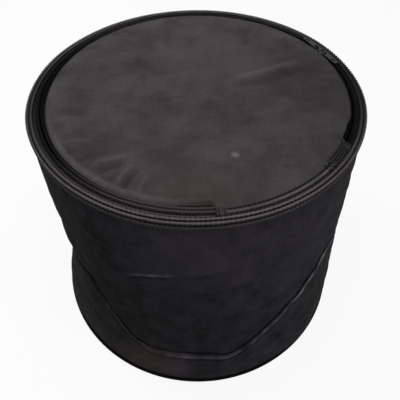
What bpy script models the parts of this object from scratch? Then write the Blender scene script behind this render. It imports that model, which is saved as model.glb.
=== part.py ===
"""A padded floor tom bag that stands on its base with the lid zipped shut.

The soft wall has slumped: its rim has moved back over the base, and its lower part stands out a little.
The origin is on the ground under the middle of the base, +Z is up and the front of the bag faces -Y.
Azimuths are in degrees from the front, turning towards +X. All lengths are in metres.
"""

import math

import bmesh
import bpy
from mathutils import Matrix, Vector

# Overall form of the standing bag
rim_radius = 0.2200
rim_height = 0.3340
base_spread = 0.0066
lean = 0.0374
facets = 60

# Cloth, foam and the play between layers
layer_gap = 0.0003
cloth = 0.0009
base_cloth = 0.0010
foam = 0.0065
lining = 0.0007
binding_tape = 0.0008

# Wall, from the base seam up to the rim band
base_corner_height = 0.0180
base_corner_share = 0.7
lip_height = 0.0600
lip_overhang = 0.0035
rim_straight = 0.0160

# Rim: a piping cord with a vertical band below it and a flat binding inside it
piping_radius = 0.0017
rim_band_height = 0.0105
rim_band_thickness = 0.0010
rim_band_setback = 0.0012
rim_binding_width = 0.0051
rim_binding_thickness = 0.0010
inner_binding_height = 0.0100
inner_binding_drop = 0.0050

# Zip chain, laid flat on the rim
zip_setback = 0.0176
coil_width = 0.0026
coil_height = 0.0026
coil_shoulder_share = 0.6
coil_parting = 0.0020
tape_thickness = 0.0007
body_tape_width = 0.0101
lid_tape_width = 0.0165
tape_depth = 0.0020

# Hinge: the part of the rim where the lid is sewn straight to the wall
hinge_azimuth = 33.0
hinge_arc = 54.0
hinge_trim = 0.0150
zip_end_tab_width = 0.0080
zip_end_tab_arc = 3.0
zip_end_gap = 0.1
zip_end_tab_thickness = 0.0008

# Lid
lid_clearance = 0.0096
lid_shift = 0.0040
lid_rise = 0.0065
lid_roll = 0.0045
lid_roll_steps = 3
lid_binding_width = 0.0060

# Base
base_piping_radius = 0.0018
base_binding_height = 0.0084

# Inside seam of the wall
wall_seam_azimuth = 150.0
wall_seam_arc = 6.0
wall_seam_clearance = 0.0040

# Sliders: plates above and below the chain, cheeks beside it and a post between the two coils
slider_azimuth = 117.0
slider_length = 0.0140
slider_tail_share = 0.72
slider_shoulder_share = 0.4
slider_plate = 0.0014
slider_lower_plate = 0.0012
slider_cheek = 0.0010
slider_side_play = 0.0007
slider_play = 0.0004
slider_post_width = 0.0008
slider_post_length = 0.0030
slider_nose_setback = 0.0012
slider_corner = 0.0016
slider_spacing = 0.0164
bridge_radius = 0.0030
bridge_wire = 0.0008
bridge_steps = 8

# Pulls: a flat tab whose end bar turns under the slider's bridge
pull_axis_height = 0.0012
pull_thickness = 0.0011
pull_length = 0.0300
pull_width = 0.0075
pull_tip_share = 0.8
pull_bar = 0.0012
pull_eye_length = 0.0046
pull_eye_width = 0.0032
pull_corner = 0.0012
pull_slot_length = 0.0080
pull_slot_width = 0.0026
pull_slot_setback = 0.0040

# Handle, sewn to the back of the wall and hanging down from its two ends
handle_azimuth = 180.0
handle_height = 0.1950
handle_webbing = 0.0380
webbing_thickness = 0.0020
handle_patch_height = 0.0560
handle_patch_arc = 12.0
handle_sewn_arc = 9.0
handle_seam_offset = 24.0
handle_half_span = 0.0680
handle_stand_off = 0.0043
handle_reach = 0.0340
handle_hang_angle = 16.2
handle_arc_power = 0.6
handle_fold_height = 0.0190
handle_fold_thickness = 0.0042
handle_joint_gap = 0.0004
grip_length_share = 0.8
grip_radius = 0.0125
grip_flatness_share = 0.62
grip_sides = 16
handle_steps = 14
sewn_steps = 3
anchor_steps = 6

# Overrun past what a cutter cuts, overlap that joins shapes, and distance at which points are one
cutter_overrun = 0.0500
join_overlap = 0.0003
weld_distance = 0.00001

base_radius = rim_radius + base_spread
zip_radius = rim_radius - zip_setback
lid_radius = zip_radius - lid_clearance

facet_angle = 360.0 / facets
hinge_first = hinge_azimuth - hinge_arc / 2
hinge_last = hinge_azimuth + hinge_arc / 2
zip_first = hinge_last + zip_end_gap
zip_last = hinge_first + 360.0 - zip_end_gap
zip_step = (zip_last - zip_first) / round((zip_last - zip_first) / facet_angle)
chord_distance = zip_radius * math.cos(math.radians(hinge_arc / 2))
hinge_inner_radius = chord_distance - hinge_trim

# Heights of the layers that meet at the rim, from the top down
coil_bottom = rim_height - tape_depth + tape_thickness + layer_gap
coil_top = coil_bottom + coil_height
tape_top = rim_height - tape_depth + tape_thickness
tape_bottom = rim_height - tape_depth
wall_layers_top = tape_bottom - layer_gap
wall_cloth_top = rim_height - 2 * piping_radius - layer_gap

# Radii of the layers that meet at the rim, from the outside in
piping_centre = rim_radius - piping_radius
rim_band_inner = rim_radius - rim_band_setback - rim_band_thickness
wall_rim_radius = rim_band_inner - layer_gap
rim_binding_outer = piping_centre - piping_radius - layer_gap
rim_binding_inner = rim_binding_outer - rim_binding_width
hinge_strip_outer = rim_binding_inner - layer_gap
body_coil_inner = zip_radius + coil_parting / 2
body_coil_outer = body_coil_inner + coil_width
lid_coil_outer = zip_radius - coil_parting / 2
lid_coil_inner = lid_coil_outer - coil_width
wall_thickness = cloth + foam + lining + 2 * layer_gap

# Wall sections at the base and the height of the lid's hinge axis
base_piping_centre = base_radius - base_piping_radius
wall_base_radius = base_piping_centre - base_piping_radius - layer_gap
wall_bottom = base_cloth + layer_gap
base_inner_radius = wall_base_radius - wall_thickness - layer_gap
lid_top = rim_height + lid_rise
hinge_axis_height = lid_top + layer_gap


def direction(azimuth):
    """The level direction of an azimuth, which is 0 at the front and turns towards +X."""
    turn = math.radians(azimuth)
    return Vector((math.sin(turn), -math.cos(turn), 0.0))


hinge_direction = direction(hinge_azimuth)
base_centre = Vector((0.0, 0.0, 0.0))
ring_centre = Vector((0.0, lean, 0.0))
lid_centre = ring_centre + hinge_direction * lid_shift


def clear_scene():
    for obj in list(bpy.data.objects):
        bpy.data.objects.remove(obj, do_unlink=True)


def new_collection(name):
    collection = bpy.data.collections.new(name)
    bpy.context.scene.collection.children.link(collection)
    return collection


clear_scene()
bag = new_collection("floor_tom_bag")
cutters = new_collection("cutters")


def material(name, colour, roughness, metallic=0.0):
    made = bpy.data.materials.new(name)
    made.use_nodes = True
    shader = made.node_tree.nodes["Principled BSDF"]
    shader.inputs["Base Color"].default_value = (*colour, 1.0)
    shader.inputs["Roughness"].default_value = roughness
    shader.inputs["Metallic"].default_value = metallic
    return made


wall_cloth_black = material("wall_cloth_black", (0.018, 0.017, 0.019), 0.85)
lid_cloth_charcoal = material("lid_cloth_charcoal", (0.050, 0.047, 0.049), 0.88)
lining_cloth_black = material("lining_cloth_black", (0.022, 0.022, 0.024), 0.80)
padding_foam_grey = material("padding_foam_grey", (0.120, 0.120, 0.125), 0.95)
binding_cloth_black = material("binding_cloth_black", (0.030, 0.028, 0.029), 0.80)
piping_cord_black = material("piping_cord_black", (0.012, 0.012, 0.013), 0.60)
zip_tape_black = material("zip_tape_black", (0.020, 0.020, 0.021), 0.85)
zip_coil_black = material("zip_coil_black", (0.010, 0.010, 0.011), 0.35)
slider_metal_black = material("slider_metal_black", (0.030, 0.030, 0.032), 0.35, 0.9)
webbing_black = material("webbing_black", (0.020, 0.020, 0.022), 0.75)
grip_rubber_black = material("grip_rubber_black", (0.015, 0.015, 0.016), 0.60)


def add_part(name, mesh, finish):
    """Puts a mesh in the bag's collection as one named part with its own material."""
    part = bpy.data.objects.new(name, mesh)
    bag.objects.link(part)
    part.data.materials.clear()
    part.data.materials.append(finish)
    return part


def shade(part, sharp_angle=40.0):
    part.data.shade_smooth()
    part.data.set_sharp_from_angle(angle=math.radians(sharp_angle))


def plain_mesh(obj):
    """The object's evaluated shape as a mesh of its own; the object itself is removed."""
    bpy.context.view_layer.update()
    evaluated = obj.evaluated_get(bpy.context.evaluated_depsgraph_get())
    mesh = bpy.data.meshes.new_from_object(evaluated)
    mesh.transform(obj.matrix_world)
    bpy.data.objects.remove(obj, do_unlink=True)
    return mesh


def mesh_of(name, shape):
    """The finished bmesh as a mesh, with its faces turned outward."""
    bmesh.ops.recalc_face_normals(shape, faces=shape.faces)
    mesh = bpy.data.meshes.new(name)
    shape.to_mesh(mesh)
    shape.free()
    return mesh


def welded(name, mesh):
    """A mesh made from a curve, with the caps joined to its sides."""
    shape = bmesh.new()
    shape.from_mesh(mesh)
    bmesh.ops.remove_doubles(shape, verts=shape.verts, dist=weld_distance)
    return mesh_of(name, shape)


def box_profile(inner, outer, low, high):
    """A rectangular section, run round so that its outer side goes down."""
    return [(inner, high), (outer, high), (outer, low), (inner, low)]


def cord_profile(radius, centre_radius, centre_height, sides):
    """A round section, run round so that its outer side goes down."""
    points = []
    for index in range(sides):
        turn = math.pi / 2 - 2 * math.pi * (index + 0.5) / sides
        points.append((centre_radius + radius * math.cos(turn), centre_height + radius * math.sin(turn)))
    return points


def turned(name, profile, finish, centre=ring_centre, first=0.0, last=360.0, step=facet_angle):
    """Turns a section about an upright axis, from one azimuth to another, as one closed body."""
    mesh = bpy.data.meshes.new(name)
    closed = profile[0][0] > 0
    edges = [(index, index + 1) for index in range(len(profile) - 1)]
    if closed:
        edges.append((len(profile) - 1, 0))
    mesh.from_pydata([(radius, 0.0, height) for radius, height in profile], edges, [])
    blank = bpy.data.objects.new(name + "_section", mesh)
    bpy.context.scene.collection.objects.link(blank)
    # An azimuth of 90 degrees is +X, where the section is drawn.
    blank.rotation_euler.z = math.radians(first - 90.0)
    blank.location = centre
    screw = blank.modifiers.new("turn", "SCREW")
    screw.angle = math.radians(last - first)
    screw.steps = round((last - first) / step)
    screw.render_steps = screw.steps
    screw.use_merge_vertices = last - first == 360.0
    screw.merge_threshold = weld_distance
    shape = bmesh.new()
    shape.from_mesh(plain_mesh(blank))
    open_edges = [edge for edge in shape.edges if edge.is_boundary]
    if open_edges:
        bmesh.ops.holes_fill(shape, edges=open_edges, sides=0)
    part = add_part(name, mesh_of(name, shape), finish)
    shade(part)
    return part


def block(name, low, high):
    """A box between two corners, used as a cutter or as one piece of a larger solid."""
    shape = bmesh.new()
    size = Vector(high) - Vector(low)
    middle = (Vector(high) + Vector(low)) / 2
    bmesh.ops.create_cube(shape, size=1.0, matrix=Matrix.Translation(middle) @ Matrix.Diagonal((*size, 1.0)))
    return bpy.data.objects.new(name, mesh_of(name, shape))


def chord_cutter(name, nearest, farthest):
    """A tall box across the hinge chord, between two distances from the centre of the ring."""
    reach = rim_radius + cutter_overrun
    cutter = block(name, (nearest, -reach, rim_height - reach), (farthest, reach, rim_height + reach))
    cutter.rotation_euler.z = math.radians(hinge_azimuth - 90.0)
    cutter.location = ring_centre
    cutter.hide_render = True
    cutter.display_type = "WIRE"
    cutters.objects.link(cutter)
    return cutter


def cut(part, cutter):
    modifier = part.modifiers.new("cut_" + cutter.name, "BOOLEAN")
    modifier.operation = "DIFFERENCE"
    modifier.solver = "EXACT"
    modifier.object = cutter


def joined(pieces):
    """One closed mesh from several overlapping solids."""
    first, others = pieces[0], pieces[1:]
    for piece in pieces:
        bpy.context.scene.collection.objects.link(piece)
    for piece in others:
        modifier = first.modifiers.new("join", "BOOLEAN")
        modifier.operation = "UNION"
        modifier.solver = "EXACT"
        modifier.object = piece
    mesh = plain_mesh(first)
    for piece in others:
        bpy.data.objects.remove(piece, do_unlink=True)
    return mesh


# The slumped wall's level sections, from the base seam up: height and outer radius
wall_sections = [
    (wall_bottom, wall_base_radius),
    (base_corner_height, wall_base_radius + lip_overhang * base_corner_share),
    (lip_height, wall_base_radius + lip_overhang),
    (rim_height - rim_straight, wall_rim_radius),
    (wall_layers_top, wall_rim_radius),
]


def wall_section(height):
    """The wall's outer radius at one height and the centre of its circle, which moves back as the wall rises."""
    slope_high = rim_height - rim_straight
    share = min(max((height - base_corner_height) / (slope_high - base_corner_height), 0.0), 1.0)
    for (low, low_radius), (high, high_radius) in zip(wall_sections, wall_sections[1:]):
        if height <= high:
            break
    along = (height - low) / (high - low)
    return low_radius + (high_radius - low_radius) * along, Vector((0.0, lean * share, height))


def on_wall(azimuth, height, stand_off):
    """A point at a distance outside the wall's outer face, or inside it where the distance is negative."""
    radius, centre = wall_section(height)
    return centre + direction(azimuth) * (radius + stand_off)


def wall_layer(name, finish, outer, inner, low, high, first=0.0, last=360.0, step=facet_angle):
    """A layer that follows the slumped wall between two heights and two azimuths, as one closed body."""
    heights = [low] + [level for level, _ in wall_sections if low < level < high] + [high]
    section = [(outer, level) for level in reversed(heights)] + [(inner, level) for level in heights]
    count = round((last - first) / step)
    whole = last - first == 360.0
    columns = count if whole else count + 1
    shape = bmesh.new()
    rings = []
    for column in range(columns):
        azimuth = first + step * column
        rings.append([shape.verts.new(on_wall(azimuth, level, stand_off)) for stand_off, level in section])
    for column in range(count):
        here, there = rings[column], rings[(column + 1) % columns]
        for index in range(len(section)):
            after = (index + 1) % len(section)
            shape.faces.new((here[index], here[after], there[after], there[index]))
    if not whole:
        shape.faces.new(rings[0])
        shape.faces.new(rings[-1])
    part = add_part(name, mesh_of(name, shape), finish)
    shade(part)
    return part


def make_wall():
    foam_outer = -cloth - layer_gap
    foam_inner = foam_outer - foam
    lining_outer = foam_inner - layer_gap
    lining_inner = lining_outer - lining
    wall_layer("wall_outer_fabric", wall_cloth_black, 0.0, -cloth, wall_bottom, wall_cloth_top)
    wall_layer("wall_foam", padding_foam_grey, foam_outer, foam_inner, wall_bottom, wall_layers_top)
    wall_layer("wall_lining", lining_cloth_black, lining_outer, lining_inner, wall_bottom, wall_layers_top)
    seam_outer = lining_inner - layer_gap
    wall_layer(
        "wall_seam_binding",
        binding_cloth_black,
        seam_outer,
        seam_outer - binding_tape,
        base_corner_height + wall_seam_clearance,
        rim_height - rim_straight - wall_seam_clearance,
        first=wall_seam_azimuth,
        last=wall_seam_azimuth + wall_seam_arc,
    )


def make_base():
    disc_radius = wall_base_radius - layer_gap
    foam_low = wall_bottom
    lining_low = foam_low + foam + layer_gap
    binding_low = lining_low + lining + layer_gap
    turned("base_outer_fabric", disc_profile(disc_radius, 0.0, base_cloth), wall_cloth_black, base_centre)
    foam_profile = disc_profile(base_inner_radius, foam_low, foam_low + foam)
    turned("base_foam", foam_profile, padding_foam_grey, base_centre)
    lining_profile = disc_profile(base_inner_radius, lining_low, lining_low + lining)
    turned("base_lining", lining_profile, lining_cloth_black, base_centre)
    binding_profile = box_profile(
        base_inner_radius - binding_tape, base_inner_radius, binding_low, binding_low + base_binding_height
    )
    turned("base_seam_binding", binding_profile, binding_cloth_black, base_centre)
    turned(
        "base_piping",
        cord_profile(base_piping_radius, base_piping_centre, base_piping_radius + layer_gap, 6),
        piping_cord_black,
        base_centre,
    )


def disc_profile(radius, low, high):
    """Half the section of a disc, from its axis out along the top and back along the bottom."""
    return [(0.0, high), (radius, high), (radius, low), (0.0, low)]


def make_rim():
    band_outer = rim_band_inner + rim_band_thickness
    band_profile = box_profile(rim_band_inner, band_outer, wall_cloth_top - rim_band_height, wall_cloth_top)
    turned("rim_band", band_profile, binding_cloth_black)
    turned(
        "rim_piping",
        cord_profile(piping_radius, piping_centre, rim_height - piping_radius, 8),
        piping_cord_black,
    )
    turned(
        "rim_binding",
        box_profile(rim_binding_inner, rim_binding_outer, rim_height - rim_binding_thickness, rim_height),
        binding_cloth_black,
    )
    inner_radius = wall_rim_radius - wall_thickness - layer_gap
    inner_top = rim_height - inner_binding_drop
    turned(
        "rim_inner_binding",
        box_profile(inner_radius - binding_tape, inner_radius, inner_top - inner_binding_height, inner_top),
        binding_cloth_black,
    )


def make_zip():
    """The two halves of the zip chain, each a tape with its coil; returns the pieces on the lid's side."""
    turned(
        "zip_tape_body",
        box_profile(body_coil_inner, body_coil_inner + body_tape_width, tape_bottom, tape_top),
        zip_tape_black,
        first=zip_first,
        last=zip_last,
        step=zip_step,
    )
    turned(
        "zip_coil_body",
        coil_profile((body_coil_inner + body_coil_outer) / 2),
        zip_coil_black,
        first=zip_first,
        last=zip_last,
        step=zip_step,
    )
    lid_tape = turned(
        "zip_tape_lid",
        box_profile(lid_coil_outer - lid_tape_width, lid_coil_outer, tape_bottom, tape_top),
        zip_tape_black,
        first=zip_first,
        last=zip_last,
        step=zip_step,
    )
    lid_coil = turned(
        "zip_coil_lid",
        coil_profile((lid_coil_inner + lid_coil_outer) / 2),
        zip_coil_black,
        first=zip_first,
        last=zip_last,
        step=zip_step,
    )
    return [lid_tape, lid_coil]


def coil_profile(middle):
    """The outline of a row of coil turns: flat below, rounded above."""
    half = coil_width / 2
    shoulder = coil_bottom + coil_height * coil_shoulder_share
    return [
        (middle - half / 2, coil_top),
        (middle + half / 2, coil_top),
        (middle + half, shoulder),
        (middle + half, coil_bottom),
        (middle - half, coil_bottom),
        (middle - half, shoulder),
    ]


def hinge_slope(radius):
    """Height of the hinge strip's outer face, which falls from the lid's level at the chord to the rim."""
    share = (radius - chord_distance) / (hinge_strip_outer - chord_distance)
    return lid_top + (rim_height - lid_top) * min(max(share, 0.0), 1.0)


def make_hinge(inside_cutter):
    """The strip that carries on from the lid and is sewn to the rim, and the tabs over the zip's ends."""
    cloth_profile = [
        (hinge_inner_radius, lid_top),
        (chord_distance, lid_top),
        (hinge_strip_outer, rim_height),
        (hinge_strip_outer, rim_height - cloth),
        (chord_distance, lid_top - cloth),
        (hinge_inner_radius, lid_top - cloth),
    ]
    under_cloth = cloth + layer_gap
    foam_low = tape_top + layer_gap
    foam_outer = hinge_strip_outer - foam / 2
    foam_profile = [
        (hinge_inner_radius, lid_top - under_cloth),
        (chord_distance, lid_top - under_cloth),
        (foam_outer, hinge_slope(foam_outer) - under_cloth),
        (foam_outer, foam_low),
        (hinge_inner_radius, foam_low),
    ]
    lining_profile = box_profile(hinge_inner_radius, body_coil_inner + body_tape_width, tape_bottom, tape_top)
    for name, profile, finish in (
        ("hinge_outer_fabric", cloth_profile, lid_cloth_charcoal),
        ("hinge_foam", foam_profile, padding_foam_grey),
        ("hinge_lining", lining_profile, lining_cloth_black),
    ):
        cut(turned(name, profile, finish, first=hinge_first, last=hinge_last), inside_cutter)
    tab_outer = hinge_strip_outer - layer_gap
    tab_inner = tab_outer - zip_end_tab_width
    tab_profile = [
        (tab_inner, hinge_slope(tab_inner) + layer_gap + zip_end_tab_thickness),
        (tab_outer, hinge_slope(tab_outer) + layer_gap + zip_end_tab_thickness),
        (tab_outer, hinge_slope(tab_outer) + layer_gap),
        (tab_inner, hinge_slope(tab_inner) + layer_gap),
    ]
    tab_starts = {"zip_end_tab_left": hinge_first, "zip_end_tab_right": hinge_last - zip_end_tab_arc}
    for name, first in tab_starts.items():
        last = first + zip_end_tab_arc
        turned(name, tab_profile, binding_cloth_black, first=first, last=last, step=zip_end_tab_arc)


def rolled_edge(radius):
    """The lid's rounded edge from its flat top round to its side, at a radius about the roll's centre."""
    centre_radius = lid_radius - lid_roll
    centre_height = lid_top - lid_roll
    points = []
    for index in range(lid_roll_steps + 1):
        turn = math.pi / 2 * index / lid_roll_steps
        points.append((centre_radius + radius * math.sin(turn), centre_height + radius * math.cos(turn)))
    return points


def make_lid(outside_cutter):
    """The lid's layers, cut straight along the hinge chord."""
    edge_low = tape_top + layer_gap
    inner_radius = lid_radius - cloth
    outer_roll = rolled_edge(lid_roll)
    inner_roll = rolled_edge(lid_roll - cloth)
    cloth_profile = [(0.0, lid_top), *outer_roll, (lid_radius, edge_low), (inner_radius, edge_low)]
    cloth_profile += [*reversed(inner_roll), (0.0, lid_top - cloth)]
    foam_profile = [(0.0, lid_top - cloth - layer_gap), *rolled_edge(lid_roll - cloth - layer_gap)]
    foam_profile += [(inner_radius - layer_gap, edge_low), (0.0, edge_low)]
    lining_top = tape_bottom - layer_gap
    binding_top = lining_top - lining - layer_gap
    pieces = [
        turned("lid_outer_fabric", cloth_profile, lid_cloth_charcoal, lid_centre),
        turned("lid_foam", foam_profile, padding_foam_grey, lid_centre),
        turned(
            "lid_lining",
            disc_profile(inner_radius, lining_top - lining, lining_top),
            lining_cloth_black,
            lid_centre,
        ),
        turned(
            "lid_seam_binding",
            box_profile(
                inner_radius - lid_binding_width,
                inner_radius,
                binding_top - binding_tape,
                binding_top,
            ),
            binding_cloth_black,
            lid_centre,
        ),
    ]
    for piece in pieces:
        cut(piece, outside_cutter)
    return pieces


def outline_plate(name, outlines, low, high):
    """A flat plate from closed outlines, the later ones being holes in the first."""
    curve = bpy.data.curves.new(name, "CURVE")
    curve.dimensions = "2D"
    curve.fill_mode = "BOTH"
    curve.extrude = (high - low) / 2
    for outline in outlines:
        spline = curve.splines.new("POLY")
        spline.points.add(len(outline) - 1)
        for point, (across, along) in zip(spline.points, outline):
            point.co = (across, along, 0.0, 1.0)
        spline.use_cyclic_u = True
    drawn = bpy.data.objects.new(name + "_outline", curve)
    drawn.location.z = (low + high) / 2
    bpy.context.scene.collection.objects.link(drawn)
    return bpy.data.objects.new(name, welded(name, plain_mesh(drawn)))


def rounded_outline(corners, radius, steps=3):
    """A closed outline through the corners in order, each rounded off from one radius before it."""
    points = []
    for index, corner in enumerate(corners):
        here = Vector(corner)
        back = (Vector(corners[index - 1]) - here).normalized() * radius
        on = (Vector(corners[(index + 1) % len(corners)]) - here).normalized() * radius
        for step in range(steps + 1):
            share = step / steps
            points.append(here + back * (1 - share) ** 2 + on * share**2)
    return points


def slider_mesh():
    """One zip slider along Y with its nose at +Y, the chain's middle at X = 0 and its height as in the bag."""
    half_length = slider_length / 2
    channel_half = coil_parting / 2 + coil_width + slider_side_play
    half_width = channel_half + slider_cheek
    tail_half = half_width * slider_tail_share
    upper_low = coil_top + slider_play
    upper_high = upper_low + slider_plate
    lower_high = tape_bottom - slider_play
    lower_low = lower_high - slider_lower_plate
    shoulder = half_length * slider_shoulder_share
    outline = rounded_outline(
        [
            (-half_width, half_length),
            (half_width, half_length),
            (half_width, -shoulder),
            (tail_half, -half_length),
            (-tail_half, -half_length),
            (-half_width, -shoulder),
        ],
        slider_corner,
    )
    pieces = [
        outline_plate("slider_upper", [outline], upper_low, upper_high),
        outline_plate("slider_lower", [outline], lower_low, lower_high),
    ]
    cheek_low = tape_top + slider_play
    for side in (-1, 1):
        near = side * channel_half
        far = side * half_width
        pieces.append(
            block(
                "slider_cheek",
                (min(near, far), -shoulder, cheek_low),
                (max(near, far), half_length - slider_corner, upper_low + join_overlap),
            )
        )
    post_front = half_length - slider_nose_setback
    pieces.append(
        block(
            "slider_post",
            (-slider_post_width / 2, post_front - slider_post_length, lower_high - join_overlap),
            (slider_post_width / 2, post_front, upper_low + join_overlap),
        )
    )
    pieces.append(bridge(upper_high))
    return joined(pieces)


def bridge(plate_top):
    """The wire loop on top of a slider, under which the pull's end bar turns."""
    curve = bpy.data.curves.new("slider_bridge", "CURVE")
    curve.dimensions = "3D"
    curve.bevel_depth = bridge_wire
    curve.bevel_resolution = 1
    curve.use_fill_caps = True
    axis = plate_top + pull_axis_height
    points = [(bridge_radius, plate_top - join_overlap)]
    for index in range(bridge_steps + 1):
        turn = math.pi * index / bridge_steps
        points.append((bridge_radius * math.cos(turn), axis + bridge_radius * math.sin(turn)))
    points.append((-bridge_radius, plate_top - join_overlap))
    spline = curve.splines.new("POLY")
    spline.points.add(len(points) - 1)
    for point, (along, up) in zip(spline.points, points):
        point.co = (0.0, along, up, 1.0)
    drawn = bpy.data.objects.new("slider_bridge_curve", curve)
    bpy.context.scene.collection.objects.link(drawn)
    return bpy.data.objects.new("slider_bridge", welded("slider_bridge", plain_mesh(drawn)))


def pull_mesh():
    """One pull, lying flat along -Y with the axis of its end bar along X through the origin."""
    half = pull_width / 2
    bar_half = pull_bar / 2
    tip_half = half * pull_tip_share
    outline = rounded_outline(
        [(-half, bar_half), (half, bar_half), (tip_half, bar_half - pull_length), (-tip_half, bar_half - pull_length)],
        pull_corner,
    )
    eye_half = pull_eye_width / 2
    eye_far = -bar_half - pull_eye_length
    eye = rounded_outline(
        [(-eye_half, -bar_half), (-eye_half, eye_far), (eye_half, eye_far), (eye_half, -bar_half)],
        eye_half / 3,
    )
    slot_half = pull_slot_width / 2
    slot_near = bar_half - pull_length + pull_slot_setback + pull_slot_length
    slot_far = slot_near - pull_slot_length
    slot = rounded_outline(
        [(-slot_half, slot_near), (-slot_half, slot_far), (slot_half, slot_far), (slot_half, slot_near)],
        slot_half,
    )
    plate = outline_plate("pull", [outline, eye, slot], -pull_thickness / 2, pull_thickness / 2)
    return plate.data


def joint_empty(name, location, turn=0.0):
    """An empty on a joint's axis, which carries the pieces that turn about it."""
    empty = bpy.data.objects.new(name, None)
    empty.empty_display_size = piping_radius
    empty.location = location
    empty.rotation_euler.z = turn
    bag.objects.link(empty)
    return empty


def make_sliders():
    """Two sliders that meet nose to nose, each with its pull lying away from the other."""
    body = slider_mesh()
    tab = pull_mesh()
    body.transform(Matrix.Translation((zip_radius, 0.0, 0.0)))
    half_angle = math.degrees(slider_spacing / 2 / zip_radius)
    pull_height = coil_top + slider_play + slider_plate + pull_axis_height
    for side, name in ((-1, "right"), (1, "left")):
        azimuth = slider_azimuth + side * half_angle
        carrier = joint_empty("slider_" + name + "_travel", ring_centre, math.radians(azimuth - 90.0))
        slider = add_part("slider_" + name, body.copy(), slider_metal_black)
        shade(slider, 30.0)
        pull = add_part("pull_" + name, tab.copy(), slider_metal_black)
        shade(pull, 30.0)
        if side > 0:
            # This slider's nose faces the other way round the ring.
            flip = Matrix.Translation((zip_radius, 0.0, 0.0)) @ Matrix.Rotation(math.pi, 4, "Z")
            slider.data.transform(flip @ Matrix.Translation((-zip_radius, 0.0, 0.0)))
            pull.data.transform(Matrix.Rotation(math.pi, 4, "Z"))
        slider.parent = carrier
        pull.parent = carrier
        pull.location = (zip_radius, 0.0, pull_height)


def handle_frame():
    """Where the handle's turning axis meets the plane through the middle of the handle, and its directions."""
    outward = direction(handle_azimuth)
    along = direction(handle_azimuth + 90.0)
    return on_wall(handle_azimuth, handle_height, handle_stand_off), outward, along


def handle_droop():
    """How far the handle hangs down from level, which leaves its angle to the wall beside it."""
    upper = on_wall(handle_azimuth, handle_height, 0.0)
    lower = on_wall(handle_azimuth, handle_height - handle_reach, 0.0)
    wall_slope = math.atan2((upper - lower).dot(direction(handle_azimuth)), handle_reach)
    return math.pi / 2 - math.radians(handle_hang_angle) + wall_slope


def ribbon(name, rows, thickness, finish):
    """A strap from rows of points across it, given its thickness on both sides of them."""
    shape = bmesh.new()
    grid = [[shape.verts.new(point) for point in row] for row in rows]
    for here, there in zip(grid, grid[1:]):
        for index in range(len(here) - 1):
            shape.faces.new((here[index], there[index], there[index + 1], here[index + 1]))
    part = add_part(name, mesh_of(name, shape), finish)
    solid = part.modifiers.new("thickness", "SOLIDIFY")
    solid.thickness = thickness
    solid.offset = 0.0
    shade(part, 50.0)
    return part


def make_handle():
    """Webbing ends sewn on patches, and the folded webbing with its grip, which hangs from them."""
    middle, outward, along = handle_frame()
    patch_low = handle_height - handle_patch_height / 2
    patch_high = handle_height + handle_patch_height / 2
    webbing_seat = layer_gap + binding_tape + layer_gap + webbing_thickness / 2
    half_width = handle_webbing / 2
    levels = [handle_height - half_width, handle_height, handle_height + half_width]
    for side, name in ((-1, "right"), (1, "left")):
        seam_azimuth = handle_azimuth + side * handle_seam_offset
        patch_ends = sorted((seam_azimuth, seam_azimuth + side * handle_patch_arc))
        wall_layer(
            "handle_patch_" + name,
            binding_cloth_black,
            layer_gap + binding_tape,
            layer_gap,
            patch_low,
            patch_high,
            first=patch_ends[0],
            last=patch_ends[1],
        )
        rows = []
        for step in range(sewn_steps + 1):
            azimuth = seam_azimuth + side * handle_sewn_arc * (1 - step / sewn_steps)
            rows.append([on_wall(azimuth, level, webbing_seat) for level in levels])
        junction = middle + along * side * (handle_half_span + handle_joint_gap)
        for step in range(1, anchor_steps + 1):
            share = step / anchor_steps
            ease = share * share * (3 - 2 * share)
            row = []
            for level in levels:
                leaving = on_wall(seam_azimuth, level, webbing_seat)
                target = junction + Vector((0.0, 0.0, level - handle_height))
                gone = target - leaving
                across = gone.dot(outward)
                sideways = gone - outward * across
                row.append(leaving + sideways * share + outward * across * ease)
            rows.append(row)
        ribbon("handle_webbing_" + name, rows, webbing_thickness, webbing_black)
    swing = joint_empty("handle_swing", middle)
    pieces = [make_handle_fold(outward, along), make_grip(outward, along)]
    droop = Matrix.Rotation(handle_droop(), 4, along)
    for piece in pieces:
        piece.data.transform(droop)
        piece.parent = swing


def handle_arc(position):
    """How far the folded webbing stands out from the turning axis at a distance along it."""
    share = min(abs(position) / handle_half_span, 1.0)
    return handle_reach * math.cos(math.pi / 2 * share) ** handle_arc_power


def swept_section(name, section, positions, outward, along, finish, hollow=None):
    """A tube whose section is drawn outwards and upwards, carried along the handle's arc."""
    shape = bmesh.new()
    rings = []
    for position in positions:
        centre = along * position + outward * handle_arc(position)
        ring = [shape.verts.new(centre + outward * out + Vector((0.0, 0.0, up))) for out, up in section]
        if hollow:
            ring += [shape.verts.new(centre + outward * out + Vector((0.0, 0.0, up))) for out, up in hollow]
        rings.append(ring)
    sides = len(section)
    loops = [range(sides)]
    if hollow:
        loops.append(range(sides, sides + len(hollow)))
    for here, there in zip(rings, rings[1:]):
        for loop in loops:
            for index in range(len(loop)):
                start, end = loop[index], loop[(index + 1) % len(loop)]
                shape.faces.new((here[start], here[end], there[end], there[start]))
    for ring in (rings[0], rings[-1]):
        if not hollow:
            shape.faces.new(ring)
            continue
        for index in range(sides):
            after = (index + 1) % sides
            shape.faces.new((ring[index], ring[after], ring[sides + after], ring[sides + index]))
    part = add_part(name, mesh_of(name, shape), finish)
    shade(part, 50.0)
    return part


def handle_positions(share):
    """Places along the handle, closer together towards both ends, up to a share of the way to its junctions."""
    places = [math.sin(math.pi / 2 * (2 * index / handle_steps - 1)) for index in range(handle_steps + 1)]
    return [place * handle_half_span for place in places if abs(place) <= share]


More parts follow.
